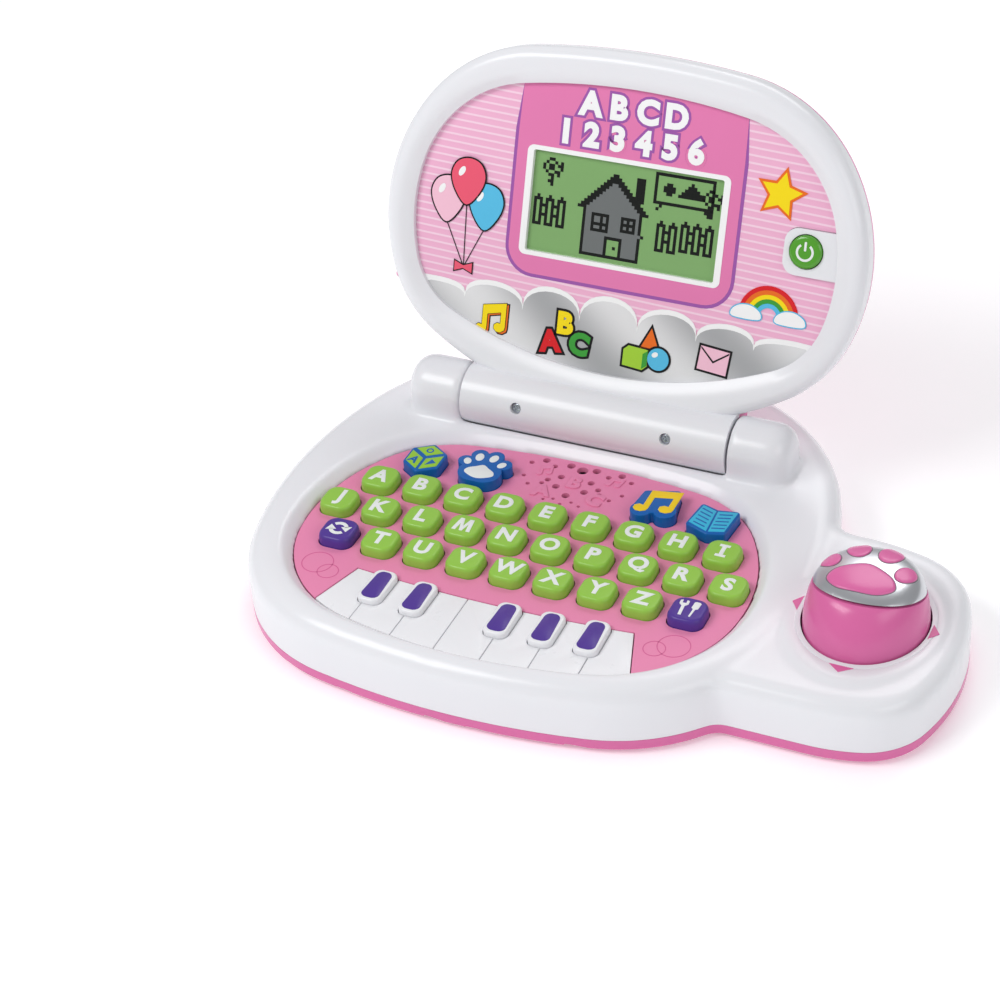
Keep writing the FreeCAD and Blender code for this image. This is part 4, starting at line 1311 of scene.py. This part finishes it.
    def paw_key(self, shop: Workshop) -> None:
        """Paw print: a broad pad and four toes."""
        node, x, y = "paw_key", -39.8, -39.4
        self.picture_cap(shop, node)
        pad = smooth_closed([(-5.6, -6.2), (0.8, -8.8), (7.0, -6.0), (6.8, -3.0), (3.6, -0.9),
                             (0.6, 0.9),
                             (-2.4, -0.9), (-5.6, -3.2)])
        self.ink(shop, node, "pad", moved(pad, x, y), KEY_WHITE)
        toes = ((-7.6, 1.6, 1.7, 2.3, 28), (-3.6, 5.8, 1.9, 2.7, 10), (2.9, 6.6, 1.9, 2.7, -8),
                (8.0, 3.2, 1.7, 2.3, -30))
        for number, (tx, ty, half_x, half_y, turn) in enumerate(toes, 1):
            self.ink(shop, node, f"toe_{number}", ring(x + tx, y + ty, half_x, half_y, 20, turn),
                     KEY_WHITE)

    def note_key(self, shop: Workshop) -> None:
        """A pair of yellow notes with pale edges."""
        node, x, y = "note_key", 41.8, -38.4
        self.picture_cap(shop, node)
        outline = moved(NOTE_PAIR, x + 0.6, y - 0.4, 0, 1.06)
        self.ink(shop, node, "notes", outline, KEY_YELLOW)

    def book_key(self, shop: Workshop) -> None:
        """Open book with lines on its pages."""
        node, x, y = "book_key", 67.6, -40.8
        self.picture_cap(shop, node)
        left = [(-7.0, 7.2), (-9.0, -5.6), (0.1, -9.4), (-0.5, 4.9)]
        right = [(0.3, 4.9), (1.0, -9.4), (7.4, -7.4), (8.6, 6.8)]
        self.ink(shop, node, "page_left", moved(left, x, y), KEY_CYAN)
        self.ink(shop, node, "page_right", moved(right, x, y), KEY_CYAN)
        for line in range(5):
            drop = 5.0 - 2.45 * line
            lean = 0.14 * line
            left_line = [(-6.6 - lean, drop + 0.3), (-6.6 - lean, drop - 0.4), (-1.4, drop - 2.4),
                         (-1.4, drop - 1.7)]
            right_line = [(1.6, drop - 1.7), (1.6, drop - 2.4), (7.0, drop - 0.9), (7.0, drop - 0.2)]
            self.ink(shop, node, f"line_left_{line + 1}", moved(left_line, x, y), BLUE, 0.08, 0.0)
            self.ink(shop, node, f"line_right_{line + 1}", moved(right_line, x, y), BLUE, 0.08, 0.0)


@dataclass
class Piano:
    """Seven white keys and five raised ones with purple tops."""

    pitch: float = 19.8
    back_y: float = -119.7
    rise: float = 3.0
    half: float = 61.8
    gaps: tuple[int, ...] = (0, 1, 3, 4, 5)
    white_top: float = 26.1
    raised_top: float = 28.6

    def build(self, shop: Workshop) -> None:
        """Build the white keys and the raised keys.

        Args:
            shop: Workshop that shapes and places the pieces.
        """
        for number in range(1, 8):
            node = f"piano_white_{number}"
            self.soft_key(shop, node, self.white_top, 0.6)
        for number, gap in enumerate(self.gaps, 1):
            node = f"piano_raised_{number}"
            self.soft_key(shop, node, self.raised_top, 0.0)
            back = (gap - 2.5) * self.pitch
            lean = math.degrees(math.atan2(back * 0.03, 60))
            top_y = self.back_y + self.rise * (back / self.half) ** 2 + 1.6
            patch = [(px * (1.0 - 0.014 * (py + 10.4)), py)
                     for px, py in rounded_box(0, -10.4, 7.4, 17.4, 2.9)]
            outline = moved(patch, back * 0.96, top_y, lean)
            inlay = shop.plate(outline, self.raised_top - 0.3, self.raised_top + 0.16, 0.12)
            shop.place(inlay, f"{node}_inlay", node, PURPLE, "key_purple")

    def soft_key(self, shop: Workshop, node: str, top: float, edge: float) -> None:
        """Key copied from the frame with its rim rounded.

        Args:
            shop: Workshop that shapes and places the pieces.
            node: Frame part that it stands for.
            top: Height of its top.
            edge: Rounding of the rim.
        """
        key = shop.copy_of(node, Sheet.BASE)
        if edge:
            with editing(key):
                bpy.ops.mesh.select_all(action="SELECT")
                bpy.ops.mesh.dissolve_limited(angle_limit=math.radians(1.0))
                pick_edges(key, lambda a, b: min(a.z, b.z) > top - 0.01)
                bpy.ops.mesh.bevel(offset=edge, segments=3, affect="EDGES", clamp_overlap=True)
        shop.place(key, node + "_cap", node, PIANO_WHITE, "piano_white", stands_for=[node], angle=40)


@dataclass
class Mouse:
    """Domed mouse: pink body, silver cap with soft pads, and the arrows round it."""

    x: float = 147.3
    y: float = -82.0
    split: tuple[float, float] = (-97.0, 51.5)
    tilt_deg: float = 17.0
    travel: float = 0.8
    plateau_top: float = 31.3
    sections: tuple[tuple[float, float, float, float], ...] = (
        (24.5, 25.0, 28.5, -82.0), (28.0, 25.0, 28.5, -82.0), (31.3, 25.0, 28.4, -82.0),
        (35.0, 24.8, 27.65, -81.95),
        (39.0, 24.3, 26.6, -81.8), (43.0, 23.5, 25.2, -81.5), (46.0, 22.6, 23.75, -81.2),
        (49.0, 21.2, 21.8, -81.0),
        (50.4, 20.1, 20.5, -80.8), (51.5, 18.8, 19.0, -80.6), (52.45, 17.2, 17.2, -80.4),
        (53.2, 15.2, 15.0, -80.2),
        (53.8, 12.6, 12.2, -80.1), (54.2, 9.3, 8.9, -80.0), (54.35, 5.0, 4.8, -80.0))

    def build(self, shop: Workshop) -> None:
        """Build the dome, the cap, its pads and the arrows.

        Args:
            shop: Workshop that shapes and places the pieces.
        """
        tilt = math.radians(self.tilt_deg)
        normal = Vector((0.0, math.sin(tilt), math.cos(tilt)))
        at = Vector((self.x, *self.split))
        body = self.dome(shop)
        self.split_at(body, at - normal * (self.travel + 0.2), normal, keep_low=True)
        shop.place(body, "mouse_body_dome", "mouse_body", PINK, "mouse_pink", stands_for=["mouse_body"],
                   angle=50)
        cap = self.dome(shop)
        self.split_at(cap, at, normal, keep_low=False)
        self.pads(shop, cap)
        shop.place(cap, "mouse_cap_shell", "mouse_cap", SILVER, "mouse_silver",
                   stands_for=["mouse_cap"], angle=50)
        self.arrows(shop)

    def dome(self, shop: Workshop) -> bpy.types.Object:
        """Whole outer form of the mouse."""
        return shop.loft([(z, half_x, half_y, self.x, y) for z, half_x, half_y, y in self.sections], 96)

    def split_at(self, piece: bpy.types.Object, at: Vector, normal: Vector, keep_low: bool) -> None:
        """Keep the part of the form on one side of a slanted plane, with its rim softened.

        Args:
            piece: The form.
            at: Point on the plane.
            normal: Its upward normal.
            keep_low: Keep what is below it.
        """
        with editing(piece):
            bpy.ops.mesh.select_all(action="SELECT")
            bpy.ops.mesh.bisect(plane_co=at, plane_no=normal, use_fill=True, clear_inner=not keep_low,
                                clear_outer=keep_low)
            pick_edges(piece, lambda a, b: max(abs((a - at).dot(normal)),
                                               abs((b - at).dot(normal))) < 0.01)
            bpy.ops.mesh.bevel(offset=0.5, segments=3, affect="EDGES", clamp_overlap=True)

    def pads(self, shop: Workshop, cap: bpy.types.Object) -> None:
        """Raised pads that follow the cap: four toes and one broad pad.

        Args:
            shop: Workshop that shapes and places the pieces.
            cap: The cap that they lie on.
        """
        shapes = {
            "toe_1": ring(139.4, -67.6, 4.9, 6.3, 32, 8),
            "toe_2": ring(152.5, -67.3, 4.9, 6.5, 32, -8),
            "toe_3": ring(130.6, -76.9, 4.1, 5.0, 32, 22),
            "toe_4": ring(161.5, -77.6, 3.9, 5.4, 32, -22),
            "pad": moved(smooth_closed([(-13.2, -3.6), (-8.0, -8.0), (0.0, -8.8), (8.0, -8.0),
                                        (13.2, -3.4),
                                        (11.4, 1.6), (5.6, 5.6), (0.0, 7.6), (-5.6, 5.6), (-11.4, 1.6)],
                                        4),
                         146.3, -84.8, 0, 1.05),
        }
        bpy.context.view_layer.update()
        for name, outline in shapes.items():
            middle = (sum(x for x, _ in outline) / len(outline),
                      sum(y for _, y in outline) / len(outline))
            # Dark ring a little wider than the pad: painted shade in the groove round it
            groove = shop.pillow(grown(outline, 0.35), middle,
                                 [(70.0, 1.0), (70.42, 0.99), (70.44, 0.6), (70.44, 0.2)])
            self.drape(groove, cap)
            shop.place(groove, f"mouse_{name}_groove", "mouse_cap", GROOVE_SHADE, "mouse_silver", angle=60)
            rings = [(70.0, 1.0), (70.5, 0.985), (70.8, 0.95), (70.95, 0.88), (71.0, 0.75),
                     (71.0, 0.55),
                     (71.0, 0.3), (71.0, 0.1)]
            pad = shop.pillow(outline, middle, rings)
            self.drape(pad, cap)
            shop.place(pad, "mouse_" + name, "mouse_cap", PINK, "mouse_pink", angle=60)

    def drape(self, pad: bpy.types.Object, cap: bpy.types.Object) -> None:
        """Lower every point of a flat pad on to the cap, keeping its thickness.

        Args:
            pad: Pad drawn at a height of 70 to 71.
            cap: The cap below it.
        """
        for vertex in pad.data.vertices:
            start = Vector((vertex.co.x, vertex.co.y, 90.0))
            hit, where, _, _ = cap.ray_cast(start, Vector((0, 0, -1)))
            ground = where.z if hit else 50.0
            vertex.co.z = ground + (vertex.co.z - 70.35)

    def arrows(self, shop: Workshop) -> None:
        """Small pink arrows on the plateau, one each way."""
        lip = shop.plate(ring(self.x, self.y, 27.8, 31.3, 72), self.plateau_top - 1.6,
                         self.plateau_top + 0.05, 0.3)
        hole = shop.plate(ring(self.x, self.y, 25.7, 29.2, 72), self.plateau_top - 3.0,
                          self.plateau_top + 1.0)
        shop.cut(lip, hole)
        shop.place(lip, "mouse_hole_lip", "base", WHITE, "casing_white")
        spots = (("left", 118.2, -81.7, 90.0, 9.5, 3.5), ("right", 175.3, -81.7, -90.0, 9.5, 3.5),
                 ("away", 147.1, -48.0, 0.0, 10.0, 4.0), ("near", 147.1, -115.2, 180.0, 10.0, 4.0))
        for name, x, y, turn, wide, deep in spots:
            outline = moved([(-wide / 2, -deep / 2), (wide / 2, -deep / 2), (0.0, deep / 2)], x, y,
                            turn)
            arrow = shop.plate(outline, self.plateau_top - 1.2, self.plateau_top + 0.12)
            shop.place(arrow, "mouse_arrow_" + name, "base", ARROW_PINK, "mouse_pink")


# ---------------------------------------------------------------------------------------------
# Lid
# ---------------------------------------------------------------------------------------------
SCREEN_ARCS: tuple[Point, ...] = ((298, 9.8), (55, 66.1), (79.5, 30), (35, 49.9))
SCREEN_TOP = 143.8


@dataclass
class Lid:
    """Frame, back shell, power button and hinge screws."""

    power_spot: Point = (82.8, 88.1)
    power_radius: float = 7.1
    screw_x: float = 35.0
    screw_radius: float = 2.4

    def build(self, shop: Workshop) -> None:
        """Build every piece of the lid apart from the printed art.

        Args:
            shop: Workshop that shapes and places the pieces.
        """
        front = shop.copy_of("lid_front_casing", Sheet.LID)
        shop.place(front, "lid_front_moulded", "lid", WHITE, "casing_white", Sheet.LID,
                   ["lid_front_casing"], 35)
        back = shop.copy_of("lid_back_shell", Sheet.LID)
        shop.place(back, "lid_back_moulded", "lid", PINK, "casing_pink", Sheet.LID, ["lid_back_shell"],
                   35)
        self.button(shop)
        self.screws(shop)

    def button(self, shop: Workshop) -> None:
        """Green power button with its mark."""
        x, s = self.power_spot
        cap = shop.pillow(ring(x, s, self.power_radius, self.power_radius, 48), (x, s),
                          [(-4.0, 1.0), (1.0, 1.0), (1.8, 0.97), (2.2, 0.9), (2.36, 0.8), (2.4, 0.5),
                           (2.42, 0.15)])
        shop.place(cap, "power_button_cap", "power_button", BUTTON_GREEN, "button_green", Sheet.LID,
                   ["power_button"])
        arc = shop.plate(arc_band(x, s, 2.9, 3.9, 125, 415, 28), 2.2, 2.52, 0.04)
        bar = shop.plate(rounded_box(x, s + 2.5, 1.0, 4.0, 0.45), 2.2, 2.52, 0.04)
        for name, piece in (("arc", arc), ("bar", bar)):
            shop.place(piece, "power_mark_" + name, "power_button", KEY_WHITE, "screen_print",
                       Sheet.LID)

    def screws(self, shop: Workshop) -> None:
        """Cross-head screws in the two holes of the barrel."""
        profile = [(10.1, 1.0), (11.4, 1.0), (11.8, 0.85), (12.0, 0.6)]
        pattern = shop.screw_head(self.screw_radius, profile, (2.9, 0.7), 11.3)
        heads = [shop.repeat(pattern, side * self.screw_x, 0.0, 0.0, 20.0 * side) for side in (-1, 1)]
        shop.discard(pattern)
        pair = shop.joined(heads)
        shop.place(pair, "lid_screw_heads", "lid", STEEL, "screw_steel", Sheet.LID, ["lid_screws"])


@dataclass
class Display:
    """Glass and dark squares of the display."""

    middle: float = 89.7
    width: float = 87.2
    height: float = 44.2
    glass: float = -2.8
    across: int = 64
    flower: tuple[str, ...] = ("..##...", ".#..#.#", "#.##.##", "#.##..#", ".#..##.", "..##.#.",
                               "...#...", "..##...",
                               "...#...")
    fence: tuple[str, ...] = (".#...#...#.", "###.###.###", "#.#.#.#.#.#", "#.###.###.#", "#.#.#.#.#.#",
                              "#.#.#.#.#.#",
                              "#.###.###.#", "#.#.#.#.#.#", "#.#.#.#.#.#", "###.###.###")
    board: tuple[str, ...] = ("####################", "#..................#", "#...........#......#",
                              "#...##.....###.....#", "#..####...#####....#", "#..####..#######...#",
                              "#...##..#########..#", "#..................#", "#..................#",
                              "####################", "..#..............#..", ".#................#.")
    house: tuple[str, ...] = (
        "...........##......###......", "..........####.....###......", ".........######....###......",
        "........###oo###...###......", ".......###oooo###..###......", "......###oooooo###.###......",
        ".....###oooooooo######......", "....###oooooooooo#####......", "...###oooooooooooo###.......",
        "..###oooooooooooooo###......", ".###oooooooooooooooo###.....", "###oooooooooooooooooo###....",
        "..#oooooooooooooooooo#......", "..#oo######oooo#####o#......", "..#oo#oo#o#oooo#o#o#o#......",
        "..#oo#oo#o#oooo#####o#......", "..#oo######oooo#o#o#o#......", "..#oo#oo#o#oooo#####o#......",
        "..#oo######ooooooooooo#.....", "..#oooooooooooooooooo#......", "..#ooooooo######ooooo#......",
        "..#ooooooo#....#ooooo#......", "..#ooooooo#....#ooooo#......", "..#ooooooo#..#.#ooooo#......",
        "..#ooooooo#....#ooooo#......", "..#ooooooo#....#ooooo#......", "..####################......")

    def build(self, shop: Workshop) -> None:
        """Build the glass and its picture.

        Args:
            shop: Workshop that shapes and places the pieces.
        """
        glass = shop.plate(rounded_box(0, self.middle, self.width + 0.6, self.height + 0.6, 1.0),
                           self.glass - 0.4, self.glass + 0.05)
        shop.place(glass, "display_glass", "lid", LCD_GREEN, "display", Sheet.LID)
        pitch = self.width / self.across
        left, top = -self.width / 2, self.middle + self.height / 2
        scenes = (
            ("flower_left", self.flower, 3, 2), ("fence_left", self.fence, 1, 14),
            ("board", self.board, 41, 1),
            ("fence_right", self.fence, 51, 15), ("flower_right", self.flower, 57, 4),
            ("house", self.house, 16, 4),
            ("fence_back", tuple(row[4:] for row in self.fence), 43, 16),
        )
        low, high = self.glass, self.glass + 0.14
        for name, rows, column, row in scenes:
            for mark, tone, finish in (("#", "dark", LCD_BLACK), ("o", "grey", LCD_GREY)):
                if not any(mark in line for line in rows):
                    continue
                picture = shop.squares(rows, mark, left + column * pitch, top - row * pitch, pitch, low,
                                       high)
                shop.place(picture, f"display_{name}_{tone}", "lid", finish, "display", Sheet.LID)


@dataclass
class ScreenArt:
    """Everything printed on the sheet round the display."""

    face: float = -1.0
    layer: float = 0.09

    def build(self, shop: Workshop) -> None:
        """Build the centre panel, the cloud and every picture.

        Args:
            shop: Workshop that shapes and places the pieces.
        """
        self.centre_panel(shop)
        self.cloud(shop)
        self.icons(shop)
        self.heading(shop)
        self.balloons(shop)
        self.badges(shop)

    def ink(self, shop: Workshop, name: str, outline: Sequence[Point], level: int,
            finish: Plastic) -> None:
        """One printed shape.

        Args:
            shop: Workshop that shapes and places the pieces.
            name: What the shape is.
            outline: Its outline.
            level: Layer of ink, from 1.
            finish: Its finish.
        """
        high = self.face + self.layer * level
        shape = shop.plate(outline, high - self.layer - 0.02, high)
        shop.place(shape, "screen_" + name, "lid", finish, "screen_print", Sheet.LID)

    def edged(self, shop: Workshop, name: str, outline: Sequence[Point], level: int, finish: Plastic,
              border: float = 0.8, border_finish: Plastic | None = None) -> None:
        """One printed shape on a wider dark shape.

        Args:
            shop: Workshop that shapes and places the pieces.
            name: What the shape is.
            outline: Its outline.
            level: Layer of the dark shape.
            finish: Finish of the shape.
            border: Width of the dark edge.
            border_finish: Finish of the dark edge.
        """
        self.ink(shop, name + "_edge", grown(outline, border), level, border_finish or INK)
        self.ink(shop, name, outline, level + 1, finish)

    def centre_panel(self, shop: Workshop) -> None:
        """Deeper pink panel behind the display, with its purple edge."""
        for name, grow, level, finish in (("panel_edge", 1.5, 1, SCREEN_EDGE),
                                          ("panel", 0.0, 2, SCREEN_DEEP)):
            half, low, corner = 51.5 + grow, 57.5 - grow, 12.0 + grow
            oval = half_oval(SCREEN_TOP, SCREEN_ARCS, 1.0)
            crown = [point for point in oval if abs(point[0]) < half - 0.2 and point[1] > 110]
            crown.sort(key=lambda point: -point[0])
            lower = [(-half, 120.0)]
            for side in (-1, 1):
                for step in range(9):
                    a = math.radians(180 + 90 * step / 8 if side < 0 else 270 + 90 * step / 8)
                    lower.append((side * (half - corner) + corner * math.cos(a),
                                  low + corner + corner * math.sin(a)))
            lower.append((half, 120.0))
            high = self.face + self.layer * level
            panel = shop.plate(lower + crown, high - self.layer - 0.02, high)
            window = shop.plate(rounded_box(0, 89.7, 93.0, 48.2, 3.0), high - 1.0, high + 1.0)
            shop.cut(panel, window)
            shop.place(panel, "screen_" + name, "lid", finish, "screen_print", Sheet.LID)

    def cloud_edge(self, grow: float) -> list[Point]:
        """Upper line of the cloud from left to right.

        Args:
            grow: Distance that the line is raised.

        Returns:
            The points of the line.
        """
        cusps = [(-104, 40.0), (-70, 41.5), (-42, 40.5), (-15, 40.0), (12, 40.0), (39, 41.0),
                 (65, 42.0), (101, 41.0)]
        crests = [46.5, 49.0, 51.0, 51.5, 50.5, 49.0, 47.0]
        line = []
        for (x0, y0), (x1, y1), crest in zip(cusps, cusps[1:], crests):
            rise = crest - (y0 + y1) / 2
            for step in range(13):
                a = math.pi * step / 12
                share = (1 - math.cos(a)) / 2
                line.append((x0 + (x1 - x0) * share,
                             y0 + (y1 - y0) * share + rise * math.sin(a) ** 0.8 + grow))
        return line

    def cloud(self, shop: Workshop) -> None:
        """Silver cloud along the bottom, with its white edge."""
        oval = half_oval(SCREEN_TOP, SCREEN_ARCS, 1.0)
        for name, grow, level, finish in (("cloud_edge", 2.3, 3, SCREEN_WHITE),
                                          ("cloud", 0.0, 4, CLOUD_SILVER)):
            edge = [point for point in self.cloud_edge(grow) if inside(point, oval)]
            (left_x, left_y), (right_x, right_y) = edge[0], edge[-1]
            lower = [p for p in oval if p[1] < 60
                     and ((p[0] < 0 and p[1] < left_y) or (p[0] >= 0 and p[1] < right_y))]
            self.ink(shop, name, lower + edge[::-1], level, finish)

    def icons(self, shop: Workshop) -> None:
        """Note, letters, solid shapes and an envelope on the cloud."""
        note = moved(NOTE_PAIR, -55.5, 33.6, 0, 0.88)
        self.edged(shop, "icon_note_side", moved(note, 1.0, -0.6), 5, PRINT_ORANGE, 0.55)
        self.edged(shop, "icon_note", note, 7, PRINT_YELLOW, 0.25)
        for letter, x, s, finish, turn in (("A", -27.5, 29.5, PRINT_RED, 8),
                                           ("B", -21.0, 38.5, PRINT_YELLOW, 0),
                                           ("C", -13.8, 30.5, PRINT_GREEN, -8)):
            self.letter(shop, f"icon_{letter.lower()}", letter, 9.4, x, s, 5, finish, turn)
        cone = [(14.4, 34.0), (22.8, 34.6), (18.9, 43.4)]
        cube = [(7.0, 25.2), (16.2, 24.4), (18.4, 26.4), (18.4, 33.6), (9.2, 34.2), (7.0, 32.2)]
        self.edged(shop, "icon_cone", cone, 5, PRINT_ORANGE, 1.0)
        self.edged(shop, "icon_cube", cube, 6, PRINT_LIME, 1.0)
        self.ink(shop, "icon_cube_side", [(16.0, 24.9), (18.2, 26.6), (18.2, 33.2), (16.0, 31.6)], 8,
                 PRINT_GREEN)
        self.edged(shop, "icon_ball", ring(23.2, 30.4, 4.9, 4.9, 36), 7, PRINT_SKY, 1.0)
        self.ink(shop, "icon_ball_gloss", ring(21.6, 32.2, 1.5, 1.1, 20, 30), 9, SCREEN_WHITE)
        envelope = [(-6.6, -5.2), (6.6, -5.2), (6.6, 5.2), (-6.6, 5.2)]
        self.edged(shop, "icon_letter", moved(envelope, 48.0, 34.5, -5), 5, PRINT_ROSE, 1.0)
        flap = [(-6.4, 5.0), (-6.4, 4.2), (0.0, -1.2), (6.4, 4.2), (6.4, 5.0), (0.0, -0.2)]
        self.ink(shop, "icon_letter_flap", moved(flap, 48.0, 34.5, -5), 7, INK)

    def letter(self, shop: Workshop, name: str, letter: str, size: float, x: float, s: float,
               level: int,
               finish: Plastic, turn: float = 0.0, weight: float = 0.75, border: float = 1.1,
               border_finish: Plastic | None = None) -> None:
        """One letter or figure on a wider dark one.

        Args:
            shop: Workshop that shapes and places the pieces.
            name: Name of the piece.
            letter: What is drawn.
            size: Height.
            x: Middle across.
            s: Middle along.
            level: Layer of the dark one.
            finish: Finish of the letter.
            turn: Turn in degrees.
            weight: Widening of the strokes.
            border: Width of the dark edge.
            border_finish: Finish of the dark edge.
        """
        for part, grow, up, tone in (("_edge", border, 0, border_finish or INK), ("", 0.0, 1, finish)):
            high = self.face + self.layer * (level + up)
            mark = shop.lettering(letter, size, x, s, high - self.layer, high, weight=weight + grow,
                                  turn=turn)
            shop.place(mark, f"screen_{name}{part}", "lid", tone, "screen_print", Sheet.LID)

    def heading(self, shop: Workshop) -> None:
        """Two rows of letters and figures above the display."""
        rows = (("ABCD", 135.0, 10.2, 13.0), ("123456", 121.8, 10.2, 11.9))
        for text, s, size, pitch in rows:
            for column, letter in enumerate(text):
                self.letter(shop, f"heading_{letter.lower()}", letter, size,
                            (column - (len(text) - 1) / 2) * pitch, s, 3,
                            SCREEN_WHITE, weight=0.75, border=1.1, border_finish=SCREEN_EDGE)

    def balloons(self, shop: Workshop) -> None:
        """Three balloons on strings."""
        knot = (-72.0, 55.0)
        spots = ((-82.0, 84.0, PRINT_ROSE), (-63.5, 83.0, PRINT_SKY), (-73.0, 93.0, PRINT_CORAL))
        for number, (x, s, finish) in enumerate(spots, 1):
            dx, ds = x - knot[0], s - 9.5 - knot[1]
            length = math.hypot(dx, ds)
            nx, ns = -ds / length * 0.2, dx / length * 0.2
            string = [(knot[0] - nx, knot[1] - ns), (x - nx, s - 9.5 - ns), (x + nx, s - 9.5 + ns),
                      (knot[0] + nx, knot[1] + ns)][::-1]
            self.ink(shop, f"balloon_string_{number}", string, 3, INK)
            body = smooth_closed([(0, -10.2), (5.6, -4.6), (8.0, 2.4), (5.6, 8.2), (0, 10.2),
                                  (-5.6, 8.2), (-8.0, 2.4),
                                  (-5.6, -4.6)], 5)
            outline = moved(body, x, s)
            self.edged(shop, f"balloon_{number}", outline, 2 + 2 * number, finish, 0.7)
            self.ink(shop, f"balloon_gloss_{number}", ring(x - 3.2, s + 4.2, 1.3, 2.4, 20, -28),
                     4 + 2 * number,
                     SCREEN_WHITE)
        bow = [(-4.2, 2.2), (-4.2, -2.2), (0, -0.6), (4.2, -2.2), (4.2, 2.2), (0, 0.6)]
        self.edged(shop, "balloon_bow", moved(bow, *knot), 4, PRINT_CORAL, 0.5)

    def badges(self, shop: Workshop) -> None:
        """A star at the upper right and a rainbow at the lower right."""
        self.edged(shop, "star", star(68.6, 110.0, 9.5, 4.7, turn=-8), 3, PRINT_YELLOW, 1.1,
                   PRINT_ORANGE)
        x, s = 69.5, 57.5
        tones = (PRINT_RED, PRINT_ORANGE, PRINT_YELLOW, PRINT_GREEN, PRINT_SKY)
        for number, finish in enumerate(tones):
            outer = 13.4 - 1.9 * number
            self.ink(shop, f"rainbow_{number + 1}", arc_band(x, s, outer - 1.95, outer, 8, 172, 22), 3,
                     finish)
        puff = smooth_closed([(-5.6, -2.4), (5.6, -2.4), (6.4, 0.4), (3.6, 2.6), (0.4, 3.4),
                              (-3.4, 2.8), (-6.4, 0.4)], 4)
        for number, side in enumerate((-1, 1), 1):
            self.edged(shop, f"puff_{number}", moved(puff, x + side * 9.8, s + 0.4), 4, SCREEN_WHITE,
                       0.5, PRINT_SKY)


@dataclass
class LidBack:
    """Raised pictures on the pink back of the lid."""

    face: float = -14.3
    relief: float = 0.55

    def build(self, shop: Workshop) -> None:
        """Build the letters, notes, stars and book.

        Args:
            shop: Workshop that shapes and places the pieces.
        """
        for name, letter, x, s in (("a_1", "A", 82, 38), ("b_1", "B", 92, 73), ("c_1", "C", 90, 108),
                                   ("a_2", "A", -78, 68), ("b_2", "B", -80, 100),
                                   ("c_2", "C", -62, 133)):
            mark = shop.lettering(letter, 11.0, 0, 0, 0.0, self.relief + 0.3, weight=0.15, edge=0.3)
            self.emboss(shop, mark, f"back_letter_{name}", x, s)
        for number, (x, s, turn) in enumerate(((38, 28, 8), (-30, 30, -8), (-70, 37, 10),
                                               (65, 130, -12)), 1):
            note = shop.plate(moved(NOTE_PAIR, 0, 0, turn, 0.85), 0.0, self.relief + 0.3, 0.3)
            self.emboss(shop, note, f"back_note_{number}", x, s)
        for number, (x, s, size) in enumerate(((26, 70, 14), (-26, 70, 14), (0, 56, 8)), 1):
            point = shop.plate(star(0, 0, size, size * 0.5), 0.0, self.relief + 0.3, 0.3)
            self.emboss(shop, point, f"back_star_{number}", x, s)
        for side in (-1, 1):
            page = [(0.8, -11.0), (30.0, -7.0), (34.0, 10.0), (18.0, 12.0), (0.8, 6.5)]
            page = [(side * px, py) for px, py in page][::side]
            leaf = shop.plate(page, 0.0, self.relief + 0.3, 0.3)
            self.emboss(shop, leaf, f"back_page_{'left' if side < 0 else 'right'}", 0, 108)

    def emboss(self, shop: Workshop, piece: bpy.types.Object, name: str, x: float, s: float) -> None:
        """Turn a flat shape to face backwards and set it on the shell.

        Args:
            shop: Workshop that shapes and places the pieces.
            piece: Shape drawn at the origin, with its face upwards.
            name: Name of the piece.
            x: Middle across, seen from the screen's side.
            s: Distance from the hinge.
        """
        turned = Matrix.Translation((x, s, self.face + 0.3)) @ Matrix.Rotation(math.pi, 4, "Y")
        piece.data.transform(turned)
        shop.place(piece, name, "lid", PINK, "casing_pink", Sheet.LID)


def dress_frame_parts(frame: dict) -> None:
    """Give every frame part a finish, whether it is shown or stood for.
    """
    finishes = {
        "base_upper_casing": WHITE, "base_lower_casing": PINK, "battery_door": PINK, "batteries": CELL,
        "circuit_board": BOARD, "speaker": CONE, "keyboard_panel": PANEL_PINK, "mouse_rocker": INNER,
        "mouse_body": PINK, "mouse_cap": SILVER, "lid_front_casing": WHITE, "lid_back_shell": PINK,
        "screen_overlay": SCREEN_PINK, "lcd_module": SCREEN_WHITE, "power_button": BUTTON_GREEN,
        "lid_screws": STEEL, "repeat_key": PURPLE, "tools_key": PURPLE, "block_key": BLUE,
        "paw_key": BLUE, "note_key": BLUE, "book_key": BLUE,
    }
    for name, node in frame["nodes"].items():
        finish = finishes.get(name, PIANO_WHITE if name.startswith("piano") else LIME)
        node.data.materials.clear()
        node.data.materials.append(finish.build())


def main() -> None:
    """Build the setting and every sub-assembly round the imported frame."""
    logging.basicConfig(level=logging.INFO, format="%(message)s")
    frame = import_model()
    shop = Workshop(frame)
    Studio().build(shop)
    dress_frame_parts(frame)
    for part in (Casing(), Keyboard(), Piano(), Mouse(), Lid(), Display(), ScreenArt(), LidBack()):
        part.build(shop)
    LOG.info("%d pieces made", shop.made)


if __name__ == "__main__":
    main()
